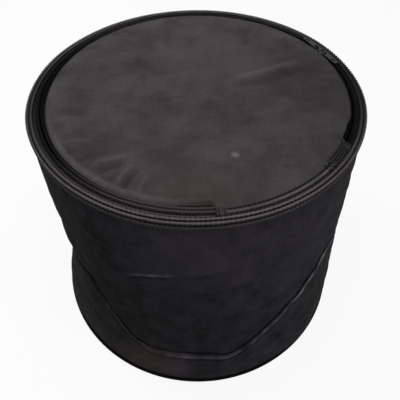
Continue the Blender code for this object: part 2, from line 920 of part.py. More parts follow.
def make_handle_fold(outward, along):
    half_out = handle_fold_thickness / 2
    half_up = handle_fold_height / 2
    section = [(-half_out, half_up), (half_out, half_up), (half_out, -half_up), (-half_out, -half_up)]
    positions = handle_positions(1.0)
    return swept_section("handle_folded_webbing", section, positions, outward, along, webbing_black)


def make_grip(outward, along):
    """A sleeve with an oval outside and a flat slot that the folded webbing passes through."""
    outer = []
    inner = []
    slot_out = handle_fold_thickness / 2 + layer_gap
    slot_up = handle_fold_height / 2 + layer_gap
    for index in range(grip_sides):
        turn = 2 * math.pi * index / grip_sides
        outer.append((grip_radius * grip_flatness_share * math.cos(turn), grip_radius * math.sin(turn)))
        # The slot's points lie on a rectangle, one of them at each corner.
        across = min(max(math.sqrt(2) * math.cos(turn), -1.0), 1.0)
        height = min(max(math.sqrt(2) * math.sin(turn), -1.0), 1.0)
        inner.append((slot_out * across, slot_up * height))
    positions = handle_positions(grip_length_share)
    return swept_section("handle_grip", outer, positions, outward, along, grip_rubber_black, inner)


def hang_on(carrier, pieces):
    """Parents pieces to an empty and leaves them where they are."""
    bpy.context.view_layer.update()
    for piece in pieces:
        piece.parent = carrier
        piece.matrix_parent_inverse = carrier.matrix_world.inverted()


half_gap = layer_gap / 2
inside_cutter = chord_cutter("hinge_inside_cutter", -rim_radius, chord_distance + half_gap)
outside_cutter = chord_cutter("hinge_outside_cutter", chord_distance - half_gap, rim_radius + cutter_overrun)

make_wall()
make_base()
make_rim()
lid_zip = make_zip()
make_hinge(inside_cutter)
lid_layers = make_lid(outside_cutter)
lid_axis_point = ring_centre + hinge_direction * chord_distance + Vector((0.0, 0.0, hinge_axis_height))
lid_axis = joint_empty("lid_hinge", lid_axis_point)
hang_on(lid_axis, lid_layers + lid_zip)
make_sliders()
make_handle()
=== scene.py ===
import math

import bpy
import numpy as np
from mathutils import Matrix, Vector, noise
from mathutils.bvhtree import BVHTree


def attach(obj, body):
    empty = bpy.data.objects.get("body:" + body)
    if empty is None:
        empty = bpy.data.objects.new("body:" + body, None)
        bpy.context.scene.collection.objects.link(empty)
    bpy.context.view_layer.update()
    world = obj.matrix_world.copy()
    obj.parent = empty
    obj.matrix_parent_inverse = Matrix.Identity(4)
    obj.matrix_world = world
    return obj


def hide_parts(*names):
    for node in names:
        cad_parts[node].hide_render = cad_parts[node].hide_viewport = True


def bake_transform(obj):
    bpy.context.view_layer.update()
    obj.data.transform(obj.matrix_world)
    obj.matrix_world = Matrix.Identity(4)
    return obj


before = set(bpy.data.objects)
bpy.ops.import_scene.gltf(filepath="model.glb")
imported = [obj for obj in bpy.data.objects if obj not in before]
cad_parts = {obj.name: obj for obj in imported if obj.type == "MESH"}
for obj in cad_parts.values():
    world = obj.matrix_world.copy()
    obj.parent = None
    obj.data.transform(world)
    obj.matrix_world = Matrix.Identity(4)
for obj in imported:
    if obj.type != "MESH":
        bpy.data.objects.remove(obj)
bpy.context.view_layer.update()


# The camera looks down at the front of the bag from about 0.7 m above the floor.
# The pale floor shows white to the camera and to reflections, with a trace of the bag's shadow.
# A soft light hangs over the bag, one stands behind it on the left, and a weaker one on the right.
camera_place = (0.0046, -0.4473, 0.692)
camera_pitch = 48.45
camera_lens = 39.96
camera_shift = -0.0375
studio_white = "#ffffff"
floor_grey = "#7c7a78"
floor_share_lit = 0.12
sky_strength = 0.38
floor_reach = 6.0
# Each soft light: its name, its place, what it faces, its width and its power
soft_lights = [
    ("overhead_light", (0.15, -0.35, 2.2), (0, 0, 0.3), 0.9, 9.0),
    ("back_light", (-0.9, 0.6, 1.35), (0, 0, 0.3), 0.5, 8.5),
    ("right_light", (1.7, -0.85, 1.2), (0, 0, 0.2), 0.8, 7.0),
]


def linear(code, alpha=1.0):
    """A colour written as sRGB hex, as the linear values that the shaders take."""
    values = [int(code[at : at + 2], 16) / 255 for at in (1, 3, 5)]
    return [v / 12.92 if v <= 0.04045 else ((v + 0.055) / 1.055) ** 2.4 for v in values] + [alpha]


def fill_inputs(tree, node, inputs):
    """Fills a node's inputs with values or with other nodes' outputs. A node stands for its first output."""
    for key, value in inputs.items():
        if isinstance(value, bpy.types.Node):
            value = value.outputs[0]
        if isinstance(value, bpy.types.NodeSocket):
            tree.links.new(value, node.inputs[key])
        else:
            node.inputs[key].default_value = value


def add_node(tree, kind, inputs=None, **settings):
    """Adds a node with its settings and its inputs."""
    node = tree.nodes.new(kind)
    for name, value in settings.items():
        setattr(node, name, value)
    fill_inputs(tree, node, inputs or {})
    return node


def seen_as_background(tree):
    """1 for camera, mirror and glass rays, which see the studio as plain white, and 0 for all others."""
    rays = add_node(tree, "ShaderNodeLightPath").outputs
    seen = rays["Is Camera Ray"]
    for ray in ("Is Glossy Ray", "Is Transmission Ray"):
        seen = add_node(tree, "ShaderNodeMath", {0: seen, 1: rays[ray]}, operation="MAXIMUM")
    return seen


camera_data = bpy.data.cameras.new("camera")
camera_data.lens = camera_lens
camera_data.shift_y = camera_shift
camera = bpy.data.objects.new("camera", camera_data)
camera.location = camera_place
camera.rotation_euler = (math.radians(90 - camera_pitch), 0, 0)
bpy.context.scene.collection.objects.link(camera)
bpy.context.scene.camera = camera
bpy.context.scene.view_settings.view_transform = "Standard"

world = bpy.data.worlds.new("studio_air")
bpy.context.scene.world = world
world.use_nodes = True
world.node_tree.nodes.clear()
soft_inputs = {"Color": linear(studio_white), "Strength": sky_strength}
soft_air = add_node(world.node_tree, "ShaderNodeBackground", soft_inputs)
white_inputs = {"Color": linear(studio_white), "Strength": 1.0}
plain_white = add_node(world.node_tree, "ShaderNodeBackground", white_inputs)
air_inputs = {0: seen_as_background(world.node_tree), 1: soft_air, 2: plain_white}
air = add_node(world.node_tree, "ShaderNodeMixShader", air_inputs)
add_node(world.node_tree, "ShaderNodeOutputWorld", {"Surface": air})

floor_material = bpy.data.materials.new("matt_paper_floor")
floor_material.use_nodes = True
floor_tree = floor_material.node_tree
floor_tree.nodes.clear()
paper = add_node(floor_tree, "ShaderNodeBsdfDiffuse", {"Color": linear(floor_grey)})
bright_paper = add_node(floor_tree, "ShaderNodeBsdfDiffuse", {"Color": linear(studio_white)})
glow = add_node(floor_tree, "ShaderNodeEmission", {"Color": linear(studio_white), "Strength": 1.0})
seen_inputs = {0: floor_share_lit, 1: glow, 2: bright_paper}
seen_paper = add_node(floor_tree, "ShaderNodeMixShader", seen_inputs)
floor_inputs = {0: seen_as_background(floor_tree), 1: paper, 2: seen_paper}
floor_look = add_node(floor_tree, "ShaderNodeMixShader", floor_inputs)
add_node(floor_tree, "ShaderNodeOutputMaterial", {"Surface": floor_look})
floor_mesh = bpy.data.meshes.new("floor")
floor_corners = [(x * floor_reach, y * floor_reach, 0) for x, y in ((-1, -1), (1, -1), (1, 1), (-1, 1))]
floor_mesh.from_pydata(floor_corners, [], [(0, 1, 2, 3)])
floor_mesh.materials.append(floor_material)
floor = bpy.data.objects.new("floor", floor_mesh)
bpy.context.scene.collection.objects.link(floor)

for light_name, place, target, width, power in soft_lights:
    light_data = bpy.data.lights.new(light_name, "AREA")
    light_data.size = width
    light_data.energy = power
    light = bpy.data.objects.new(light_name, light_data)
    light.location = place
    light.rotation_euler = (Vector(target) - Vector(place)).to_track_quat("-Z", "Y").to_euler()
    bpy.context.scene.collection.objects.link(light)


# The side wall is a layer of black woven polyester over foam, with the lining inside.
# Empty, it has slumped: its upper part has sunk and narrowed, and its lower part stands out as a lip.
# The lip's edge is a sharp U-shaped crease at the front, and it fades out round the sides.
base_height = 0.0013
wall_top = 0.3303
wall_heights = [base_height, 0.0180, 0.0600, 0.1500, 0.2400, 0.2900, 0.3180, wall_top]
wall_radii = [0.2222, 0.2238, 0.2248, 0.2230, 0.2206, 0.2200, 0.2182, 0.2176]
slope_low = 0.0180
slope_high = 0.3180
lean = 0.0374
base_shift = (0.0012, -0.0015)
base_shift_height = 0.080
wall_padding = 0.0075
# The crease is a rolled strip of cloth. Azimuth, height of its lower edge, how far that edge lies in,
# how far the strip steps in, how high the strip is, how much its crest is drawn lighter, as wear and
# painted highlight, and the wall's bulge above it
crease_table = np.array([
    (-180, 0.150, 0.0010, 0.0000, 0.0060, 0.0, 0.0015),
    (-130, 0.118, 0.0060, 0.0000, 0.0060, 0.0, 0.0025),
    (-105, 0.113, 0.0190, 0.0000, 0.0050, 0.0, 0.0010),
    (-90, 0.110, 0.0250, 0.0000, 0.0050, 0.0, 0.0010),
    (-78, 0.112, 0.0262, 0.0000, 0.0050, 0.0, 0.0010),
    (-68, 0.127, 0.0225, 0.0000, 0.0045, 0.0, 0.0010),
    (-58, 0.149, 0.0145, 0.0004, 0.0040, 0.0, 0.0015),
    (-48, 0.166, 0.0075, 0.0012, 0.0038, 0.0, 0.0020),
    (-40, 0.171, 0.0032, 0.0010, 0.0036, 0.15, 0.0035),
    (-37.3, 0.158, 0.0022, 0.0011, 0.0036, 0.45, 0.0030),
    (-34.9, 0.142, 0.0014, 0.0012, 0.0036, 0.60, 0.0028),
    (-31.7, 0.131, 0.0008, 0.0013, 0.0036, 1.3, 0.0025),
    (-28.9, 0.122, 0.0004, 0.0014, 0.0036, 1.4, 0.0022),
    (-26.5, 0.107, 0.0000, 0.0016, 0.0038, 0.7, 0.0020),
    (-24.3, 0.096, 0.0000, 0.0018, 0.0042, 0.35, 0.0020),
    (-21.8, 0.084, 0.0000, 0.0022, 0.0044, 0.20, 0.0020),
    (-18.5, 0.071, 0.0000, 0.0034, 0.0045, 0.30, 0.0020),
    (-14.4, 0.067, 0.0000, 0.0048, 0.0052, 0.35, 0.0020),
    (-7.8, 0.0655, 0.0000, 0.0056, 0.0054, 0.35, 0.0020),
    (-3.1, 0.0655, 0.0000, 0.0056, 0.0054, 0.35, 0.0020),
    (3.0, 0.0670, 0.0000, 0.0050, 0.0052, 0.35, 0.0020),
    (8.4, 0.0625, 0.0000, 0.0046, 0.0046, 0.35, 0.0020),
    (11.3, 0.0615, 0.0000, 0.0038, 0.0044, 0.35, 0.0020),
    (14.2, 0.0662, 0.0000, 0.0038, 0.0044, 0.35, 0.0020),
    (18.3, 0.0758, 0.0000, 0.0040, 0.0050, 0.35, 0.0020),
    (21.2, 0.0848, 0.0000, 0.0038, 0.0046, 0.40, 0.0020),
    (24.6, 0.0936, 0.0000, 0.0036, 0.0044, 0.42, 0.0020),
    (27.5, 0.1036, 0.0000, 0.0034, 0.0044, 0.45, 0.0020),
    (32.9, 0.1171, 0.0002, 0.0032, 0.0044, 0.5, 0.0020),
    (35.4, 0.1276, 0.0004, 0.0030, 0.0044, 0.6, 0.0022),
    (39.4, 0.1360, 0.0006, 0.0030, 0.0044, 0.9, 0.0025),
    (42.7, 0.1468, 0.0008, 0.0028, 0.0042, 1.1, 0.0028),
    (46.9, 0.1546, 0.0012, 0.0026, 0.0042, 1.1, 0.0012),
    (51.5, 0.1650, 0.0016, 0.0024, 0.0042, 0.95, 0.0008),
    (55.5, 0.1743, 0.0022, 0.0020, 0.0040, 0.8, 0.0006),
    (62, 0.1700, 0.0030, 0.0010, 0.0044, 0.3, 0.0004),
    (70, 0.1450, 0.0036, 0.0003, 0.0044, 0.0, 0.0004),
    (80, 0.1300, 0.0036, 0.0000, 0.0050, 0.0, 0.0006),
    (105, 0.1350, 0.0020, 0.0000, 0.0060, 0.0, 0.0010),
    (140, 0.1450, 0.0010, 0.0000, 0.0060, 0.0, 0.0015),
    (180, 0.1500, 0.0010, 0.0000, 0.0060, 0.0, 0.0015),
])
table_softness = (1.2, 5.0, 2.5, 2.5, 1.5, 8.0)
# Rows of points across the strip, from below to above. Millimetres above the strip's edge where the
# crease has faded, and where it is sharp, then the share of the strip's height to add to both,
# millimetres further in, the share of the step that they lie in, and how their colour is drawn, which is
# above 0 where it is lighter, as wear and painted highlight, and below 0 in the two grooves, as painted
# shade
strip_rows = [
    (-7.0, -7.0, 0.0, 0.0, 0.00, 0.0), (-5.0, -5.0, 0.0, 0.0, 0.00, 0.0), (-3.6, -3.6, 0.0, 0.1, 0.00, -0.1),
    (-2.6, -2.6, 0.0, 0.5, 0.00, -0.5), (-1.9, -1.9, 0.0, 1.1, 0.00, -0.9),
    (-1.3, -1.3, 0.0, 1.5, 0.00, -1.0), (-0.8, -0.6, 0.0, 1.5, 0.00, -1.0),
    (-0.4, -0.3, 0.0, 0.8, 0.00, -0.6), (-0.1, -0.1, 0.0, 0.0, 0.00, -0.1),
    (0.0, 0.0, 0.08, -0.4, 0.01, 0.1), (0.0, 0.0, 0.2, -0.6, 0.04, 0.2), (0.0, 0.0, 0.35, -0.6, 0.09, 0.3),
    (0.0, 0.0, 0.5, -0.6, 0.16, 0.6), (0.0, 0.0, 0.64, -0.5, 0.26, 1.0), (0.0, 0.0, 0.76, -0.4, 0.38, 0.6),
    (0.0, 0.1, 0.86, -0.3, 0.50, 0.3), (0.0, 0.2, 0.93, -0.2, 0.62, 0.2), (0.0, 0.3, 0.97, -0.1, 0.76, 0.2),
    (0.1, 0.2, 1.0, 0.0, 0.90, 0.0), (0.3, -0.2, 1.0, 0.2, 1.00, -0.1), (0.6, -1.2, 1.0, 0.5, 1.00, -0.2),
    (0.9, -2.0, 1.0, 1.0, 1.00, -0.3), (1.2, -2.2, 1.0, 1.7, 1.00, -0.4), (1.5, -1.6, 1.0, 2.3, 1.00, -0.4),
    (1.9, -0.4, 1.0, 2.6, 1.00, -0.3), (2.4, 0.9, 1.0, 2.3, 1.00, -0.1), (3.0, 2.0, 1.0, 1.6, 1.00, 0.0),
    (3.8, 3.2, 1.0, 0.9, 1.00, 0.0), (4.8, 4.6, 1.0, 0.4, 1.00, 0.0), (6.2, 6.2, 1.0, 0.1, 1.00, 0.0),
    (8.5, 8.5, 1.0, 0.0, 1.00, 0.0),
]
full_step = 0.0025
slump_foot = 0.010
# Bulge low on the right: azimuth, height, how far it stands out, and its half width and half height
low_bulge = (43.0, 0.028, 0.0050, 12.0, 0.026)
# Wrinkles of the loose front: from and to, as azimuth and height, then half width, how far they stand
# out, and how strong a painted highlight runs along their crest
wall_folds = [
    ((-22.0, 0.2315), (-6.0, 0.2465), 0.0030, 0.0024, 0.9),
    ((-23.0, 0.2255), (-7.0, 0.2405), 0.0032, -0.0022, 0.0),
    ((-9.0, 0.244), (15.0, 0.268), 0.0045, 0.0030, 0.0),
    ((-10.0, 0.236), (14.0, 0.258), 0.0045, -0.0022, 0.0),
    ((-2.0, 0.307), (9.0, 0.286), 0.0045, -0.0020, 0.0),
    ((8.0, 0.285), (22.0, 0.306), 0.0045, 0.0020, 0.0),
    ((4.0, 0.226), (30.0, 0.246), 0.0060, 0.0028, 0.0),
    ((-4.0, 0.210), (20.0, 0.226), 0.0070, -0.0026, 0.0),
    ((30.0, 0.262), (46.0, 0.296), 0.0060, 0.0018, 0.0),
    ((14.0, 0.172), (34.0, 0.200), 0.0120, 0.0022, 0.0),
    ((-34.0, 0.250), (-20.0, 0.226), 0.0080, 0.0026, 0.0),
    ((-40.0, 0.290), (-24.0, 0.270), 0.0060, 0.0020, 0.0),
    ((-3.0, 0.2275), (6.0, 0.2150), 0.0040, 0.0016, 0.0),
    ((-24.0, 0.2120), (-12.0, 0.2160), 0.0035, 0.0014, 0.0),
    ((-30.0, 0.205), (-22.0, 0.150), 0.0100, -0.0016, 0.0),
    ((-5.0, 0.150), (4.0, 0.105), 0.0140, -0.0014, 0.0),
    ((-52.0, 0.235), (-40.0, 0.190), 0.0120, -0.0020, 0.0),
    ((45.0, 0.235), (58.0, 0.205), 0.0090, -0.0016, 0.0),
    ((24.0, 0.045), (38.0, 0.075), 0.0070, 0.0014, 0.0),
    ((-38.0, 0.055), (-26.0, 0.035), 0.0070, 0.0014, 0.0),
    ((52.0, 0.120), (58.0, 0.070), 0.0080, -0.0016, 0.0),
    ((-120.0, 0.210), (-150.0, 0.130), 0.0140, -0.0030, 0.0),
    ((120.0, 0.230), (150.0, 0.150), 0.0140, -0.0026, 0.0),
    ((165.0, 0.120), (195.0, 0.090), 0.0120, -0.0024, 0.0),
]
wall_metres_per_degree = 0.0038
rows_below = 36
rows_above = 76
rows_inside = 25
front_half_arc = 110
front_step = 0.5
back_step = 1.0
longest_stretch = 2.0
lip_least_rise = 0.01
lip_rounded_share = 0.3
lip_power = 1.4
sink_power = 1.05
bulge_power = 2.2
row_crowding = 0.09
# Unevenness of the loose cloth: height, width of its hills, place in the noise, and how flat they are
wall_unevenness = [(0.0024, 0.08, 3.1, 1.0), (0.0013, 0.03, 7.7, 1.8), (0.00045, 0.011, 17.7, 1.6)]
sewn_margin = 0.012
loose_below_rim = 0.04
loose_above_base = 0.02
back_azimuth = -170
left_azimuth = -60
fold_taper = 3.5
# Painted highlight comes and goes along folds, as do the wear and painted highlight on the crease's
# crest: half width on a fold, then level, change and size of its places, their place in the noise, and
# the least and the most
fold_highlight_half_width = 0.0017
wear_and_highlight_level = 0.85
wear_and_highlight_change = 1.1
wear_and_highlight_size = 0.013
wear_and_highlight_offset = 9.3
wear_and_highlight_limits = (0.15, 1.8)
foam_below_rim = 0.001
foam_bridges = 0.013
foam_softenings = 3


def ease(share):
    """A smooth step from 0 to 1."""
    share = np.clip(share, 0, 1)
    return share * share * (3 - 2 * share)


def bell(apart, half_width):
    """1 where apart is 0, and less the further it lies from 0."""
    return np.exp(-((apart / half_width) ** 2))


def smooth_table(azimuths, table, softness):
    """The columns of a table by azimuth, each rounded off where its lines meet."""
    found = []
    for column, spread in zip(table.T[1:], softness):
        reach = np.linspace(-spread, spread, 13)
        turns = np.concatenate([table[:, 0] - 360, table[:, 0], table[:, 0] + 360])
        values = np.concatenate([column, column, column])
        found.append(np.mean([np.interp(azimuths + shift, turns, values) for shift in reach], axis=0))
    return found


def fold_noise(points, size, offset):
    """A smooth random height at each point, from about -1 to 1, whose hills are as wide as size."""
    flat = points.reshape(-1, 3) / size + offset
    values = [noise.noise(Vector(point)) for point in flat]
    return np.array(values).reshape(points.shape[:-1])


def wall_radius(heights):
    """Radius of the upright wall's outer face."""
    return np.interp(heights, wall_heights, wall_radii)


def wall_point(azimuths, heights, inward):
    """Points at a distance inside the upright wall's outer face."""
    turn = np.radians(azimuths)
    radius = wall_radius(heights) - inward
    back = lean * np.clip((heights - slope_low) / (slope_high - slope_low), 0, 1)
    low = np.clip(1 - heights / base_shift_height, 0, 1)
    across = radius * np.sin(turn) + base_shift[0] * low
    along = back - radius * np.cos(turn) + base_shift[1] * low
    return np.stack([across, along, heights], axis=-1)


def pieces_mesh(name, points, faces, metres):
    """A mesh from points and faces, with a UV map in metres given for each corner of each face."""
    mesh = bpy.data.meshes.new(name)
    mesh.from_pydata(points.tolist(), [], faces)
    layer = mesh.uv_layers.new(name="metres")
    layer.data.foreach_set("uv", np.asarray(metres, dtype=np.float32).ravel())
    mesh.shade_smooth()
    return mesh


def run_along(line):
    """How far along a line each of its points lies."""
    return np.concatenate([[0], np.cumsum(np.linalg.norm(np.diff(line, axis=0), axis=1))])


def swept_mesh(name, points, closed_round=True, wear_and_painted_light=None):
    """A mesh over a grid whose rows run round the bag. It is closed across the piece.

    The mark of each row or point: above 0 where the colour is drawn lighter, as scuffs and painted
    highlight, below 0 where a seam, a groove or a fold has painted shade.
    """
    rows, columns = points.shape[:2]
    across = np.arange(rows)[:, None]
    along = np.arange(columns if closed_round else columns - 1)[None, :]
    next_row = (across + 1) % rows
    next_column = (along + 1) % columns
    here = across * columns + along
    corners = [
        here, across * columns + next_column, next_row * columns + next_column, next_row * columns + along,
    ]
    faces = np.stack(corners, axis=-1).reshape(-1, 4)
    along_metres = run_along(points[rows // 2, np.arange(columns + 1) % columns])
    across_metres = run_along(points[np.arange(rows + 1) % rows, 0])
    u_here, u_there = along_metres[along], along_metres[along + 1]
    v_here, v_there = across_metres[across], across_metres[across + 1]
    metres = np.stack(
        [
            np.stack(np.broadcast_arrays(u, v), axis=-1)
            for u, v in ((u_here, v_here), (u_there, v_here), (u_there, v_there), (u_here, v_there))
        ],
        axis=2,
    ).reshape(-1, 4, 2)
    flat = points.reshape(-1, 3)
    quads = flat[faces]
    volume = np.einsum("ij,ij->", quads[:, 0], np.cross(quads[:, 1], quads[:, 2]))
    volume += np.einsum("ij,ij->", quads[:, 0], np.cross(quads[:, 2], quads[:, 3]))
    if volume < 0:
        faces = faces[:, ::-1]
        metres = metres[:, ::-1]
    face_list = faces.tolist()
    uv_list = metres.reshape(-1, 2)
    if not closed_round:
        ends = [[row * columns for row in range(rows)], [row * columns + columns - 1 for row in range(rows)]]
        for number, end in enumerate(ends):
            face_list.append(end if (number == 0) == (volume < 0) else end[::-1])
        uv_list = np.concatenate([uv_list, np.zeros((2 * rows, 2))])
    mesh = pieces_mesh(name, flat, face_list, uv_list)
    if wear_and_painted_light is not None:
        point_wear_and_light = np.asarray(wear_and_painted_light, dtype=float)
        if point_wear_and_light.ndim == 1:
            point_wear_and_light = point_wear_and_light[:, None] + np.zeros(columns)
        layer = mesh.attributes.new("worn", "FLOAT", "POINT")
        layer.data.foreach_set("value", point_wear_and_light.astype(np.float32).ravel())
    return mesh


def add_piece(name, mesh, material, body, replaced=()):
    """Puts a finished mesh in the scene, on its body and in place of its CAD nodes."""
    piece = bpy.data.objects.new(name, mesh)
    bpy.context.scene.collection.objects.link(piece)
    if material is not None:
        mesh.materials.clear()
        mesh.materials.append(material)
    if body:
        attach(piece, body)
    if replaced:
        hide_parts(*replaced)
    return piece


def add_swept(name, points, material, body, replaced=(), closed_round=True, wear_and_painted_light=None):
    """A piece over a grid of points, on its body and in place of its CAD nodes."""
    return add_piece(name, swept_mesh(name, points, closed_round, wear_and_painted_light), material, body, replaced)


def new_surface(name):
    """A new material, with its nodes, its shader and the place of the point that is coloured."""
    material = bpy.data.materials.new(name)
    material.use_nodes = True
    tree = material.node_tree
    place = add_node(tree, "ShaderNodeTexCoord").outputs["Object"]
    return material, tree, tree.nodes["Principled BSDF"], place


def marked(tree, colour, place, marks, grit):
    """A colour with marks over it: each a place, a radius, a colour and a strength. Small ones are gritty."""
    largest_gritty_mark = 0.06
    solid_share = 0.2
    for centre, radius, mark_colour, strength in marks:
        distance = add_node(tree, "ShaderNodeVectorMath", {0: place, 1: centre}, operation="DISTANCE")
        inputs = {"Value": distance.outputs["Value"], "From Min": radius, "From Max": solid_share * radius}
        near = add_node(tree, "ShaderNodeMapRange", {**inputs, "To Max": strength})
        unevenness = grit if radius < largest_gritty_mark else 1.0
        share = add_node(tree, "ShaderNodeMath", {0: near, 1: unevenness}, operation="MULTIPLY")
        inputs = {"Factor": share, "A": colour, "B": linear(mark_colour)}
        colour = add_node(tree, "ShaderNodeMix", inputs, data_type="RGBA").outputs["Result"]
    return colour


def woven_cloth(
    name, dark, light, roughness, patch=0.07, patch_share=0.5, relief=0.00022, marks=(), worn_and_lit_colour=None,
    dent_depth=0.0016,
):
    """Woven polyester: threads 0.6 mm apart, with streaks where threads vary in thickness.

    The streaks are drawn 1.6 mm wide, coarser than real ones, because real ones don't show at the
    photograph's scale. Marks are dusty patches, specks, painted shade and painted light: a place, a radius,
    a colour and a strength each. Where the mesh's mark is above 0, the colour is drawn towards the lighter
    colour, as scuffs and painted highlight, and where it is below 0, in seams, grooves and folds, it is
    painted shade, drawn black.
    """
    thread = 0.0006
    streak_width = 0.0016
    streak_length = 0.030
    # Black for the painted shade in seams, grooves and folds
    painted_shade_black = "#050506"
    dent_width = 0.010
    streak_fade = (0.4, 0.1)
    streak_height = 0.8
    material, tree, shader, place = new_surface(name)
    metres = add_node(tree, "ShaderNodeUVMap", uv_map="metres")
    streaks = []
    for scale in ((1 / streak_width, 1 / streak_length, 1), (1 / streak_length, 1 / streak_width, 1)):
        stretched = add_node(tree, "ShaderNodeVectorMath", {0: metres, 1: scale}, operation="MULTIPLY")
        inputs = {"Vector": stretched, "Scale": 1.0, "Detail": 2.0}
        streaks.append(add_node(tree, "ShaderNodeTexNoise", inputs, noise_dimensions="2D"))
    streaking = add_node(tree, "ShaderNodeMath", dict(enumerate(streaks)), operation="ADD")
    weave = {0: metres, 1: (math.pi / thread,) * 3}
    turns = add_node(tree, "ShaderNodeVectorMath", weave, operation="MULTIPLY")
    split = add_node(tree, "ShaderNodeSeparateXYZ", {0: turns})
    warp = add_node(tree, "ShaderNodeMath", {0: split.outputs[0]}, operation="SINE")
    weft = add_node(tree, "ShaderNodeMath", {0: split.outputs[1]}, operation="SINE")
    crossing = add_node(tree, "ShaderNodeMath", {0: warp, 1: weft}, operation="MULTIPLY")
    bumps = add_node(tree, "ShaderNodeMath", {0: crossing}, operation="ABSOLUTE")
    inputs = {0: streaking, 1: streak_fade[0], 2: streak_fade[1]}
    fade = add_node(tree, "ShaderNodeMath", inputs, operation="MULTIPLY_ADD")
    inputs = {"Vector": place, "Scale": 1 / patch, "Detail": 4.0, "Roughness": 0.6}
    patches = add_node(tree, "ShaderNodeTexNoise", inputs)
    inputs = {0: patches, 1: 2 * patch_share, 2: -patch_share}
    uneven = add_node(tree, "ShaderNodeMath", inputs, operation="MULTIPLY_ADD")
    lightness = add_node(tree, "ShaderNodeMath", {0: fade, 1: uneven}, operation="ADD")
    inputs = {"Factor": lightness, "A": linear(dark), "B": linear(light)}
    colour = add_node(tree, "ShaderNodeMix", inputs, data_type="RGBA").outputs["Result"]
    inputs = {"Vector": place, "Scale": 160.0, "Detail": 5.0, "Roughness": 0.75}
    grit = add_node(tree, "ShaderNodeTexNoise", inputs)
    # The mesh's mark paints light: above 0 towards the lighter colour, as wear and painted highlight, below 0
    # towards black, as painted shade
    if worn_and_lit_colour:
        wear_and_light_mark = add_node(tree, "ShaderNodeAttribute", attribute_name="worn").outputs["Fac"]
        for strength, towards in ((grit, worn_and_lit_colour), (-1.0, painted_shade_black)):
            share = add_node(tree, "ShaderNodeMath", {0: wear_and_light_mark, 1: strength}, operation="MULTIPLY")
            inputs = {"Factor": share, "A": colour, "B": linear(towards)}
            colour = add_node(tree, "ShaderNodeMix", inputs, data_type="RGBA").outputs["Result"]
    inputs = {0: streaking, 1: streak_height, 2: bumps}
    height = add_node(tree, "ShaderNodeMath", inputs, operation="MULTIPLY_ADD")
    inputs = {"Vector": place, "Scale": 1 / dent_width, "Detail": 3.0, "Roughness": 0.6}
    dents = add_node(tree, "ShaderNodeTexNoise", inputs)
    dented = add_node(tree, "ShaderNodeBump", {"Height": dents, "Distance": dent_depth})
    inputs = {"Height": height, "Distance": relief, "Normal": dented}
    fill_inputs(tree, shader, {
        "Base Color": marked(tree, colour, place, marks, grit),
        "Normal": add_node(tree, "ShaderNodeBump", inputs),
        "Roughness": roughness,
        "IOR": 1.5,
        "Specular IOR Level": 0.06,
        "Sheen Weight": 0.03,
        "Sheen Roughness": 0.45,
    })
    return material


# Black polyester, blacker on the left, in the middle of the front and low on the right, partly its own
# tone and partly painted shade, paler under the rim, and dusty low in front, with one pale speck.
# Each mark is a place, a radius, a colour and a strength.
wall_dust_and_shade_marks = [
    ((-0.240, -0.060, 0.160), 0.250, "#050506", 1.5),
    ((-0.010, -0.200, 0.120), 0.110, "#100f12", 0.45),
    ((0.130, -0.150, 0.270), 0.120, "#45414a", 0.35),
    ((0.000, -0.185, 0.290), 0.110, "#4a464e", 0.40),
    ((0.190, -0.100, 0.070), 0.120, "#0b0a0c", 0.55),
    ((-0.078, -0.211, 0.036), 0.055, "#63504a", 0.8),
    ((-0.030, -0.222, 0.045), 0.040, "#5c4e56", 0.8),
    ((0.001, -0.226, 0.058), 0.0055, "#b09aa8", 2.4),
]
wall_cloth = woven_cloth(
    "woven_black_polyester", "#121114", "#3a373d", 0.9, patch=0.026, patch_share=1.2, marks=wall_dust_and_shade_marks,
    worn_and_lit_colour="#b4b2b8", dent_depth=0.0055,
)

wall_azimuths = np.concatenate([
    np.arange(-front_half_arc, front_half_arc, front_step),
    np.arange(front_half_arc, 360 - front_half_arc, back_step),
])
signed_azimuths = (wall_azimuths + 180) % 360 - 180
edge_height, edge_inward, step_inward, strip_height, crest_wear_and_highlight, upper_bulge = smooth_table(
    signed_azimuths, crease_table, table_softness
)
edge_slope = np.gradient(edge_height, np.radians(front_step) * wall_radii[2])
stretch = np.minimum(np.sqrt(1 + edge_slope**2), longest_stretch)
sharp = np.clip(step_inward / full_step, 0, 1)
low_end = edge_height + strip_rows[0][0] / 1000 * stretch
high_end = edge_height + strip_height + strip_rows[-1][0] / 1000 * stretch


def below_strip(heights):
    """Inward distance of the lip, from the base up to its edge."""
    rise = np.clip((heights - slump_foot) / np.maximum(edge_height - slump_foot, lip_least_rise), 0, 1)
    return edge_inward * (lip_rounded_share * ease(rise) + (1 - lip_rounded_share) * rise**lip_power)


def above_strip(heights):
    """Inward distance of the sunken wall, from the strip up to the rim."""
    low = edge_height + strip_height
    rise = np.clip((heights - low) / (slope_high - low), 0, 1)
    sunk = (edge_inward + step_inward) * (1 - rise) ** sink_power
    return sunk - upper_bulge * np.sin(math.pi * rise**bulge_power)


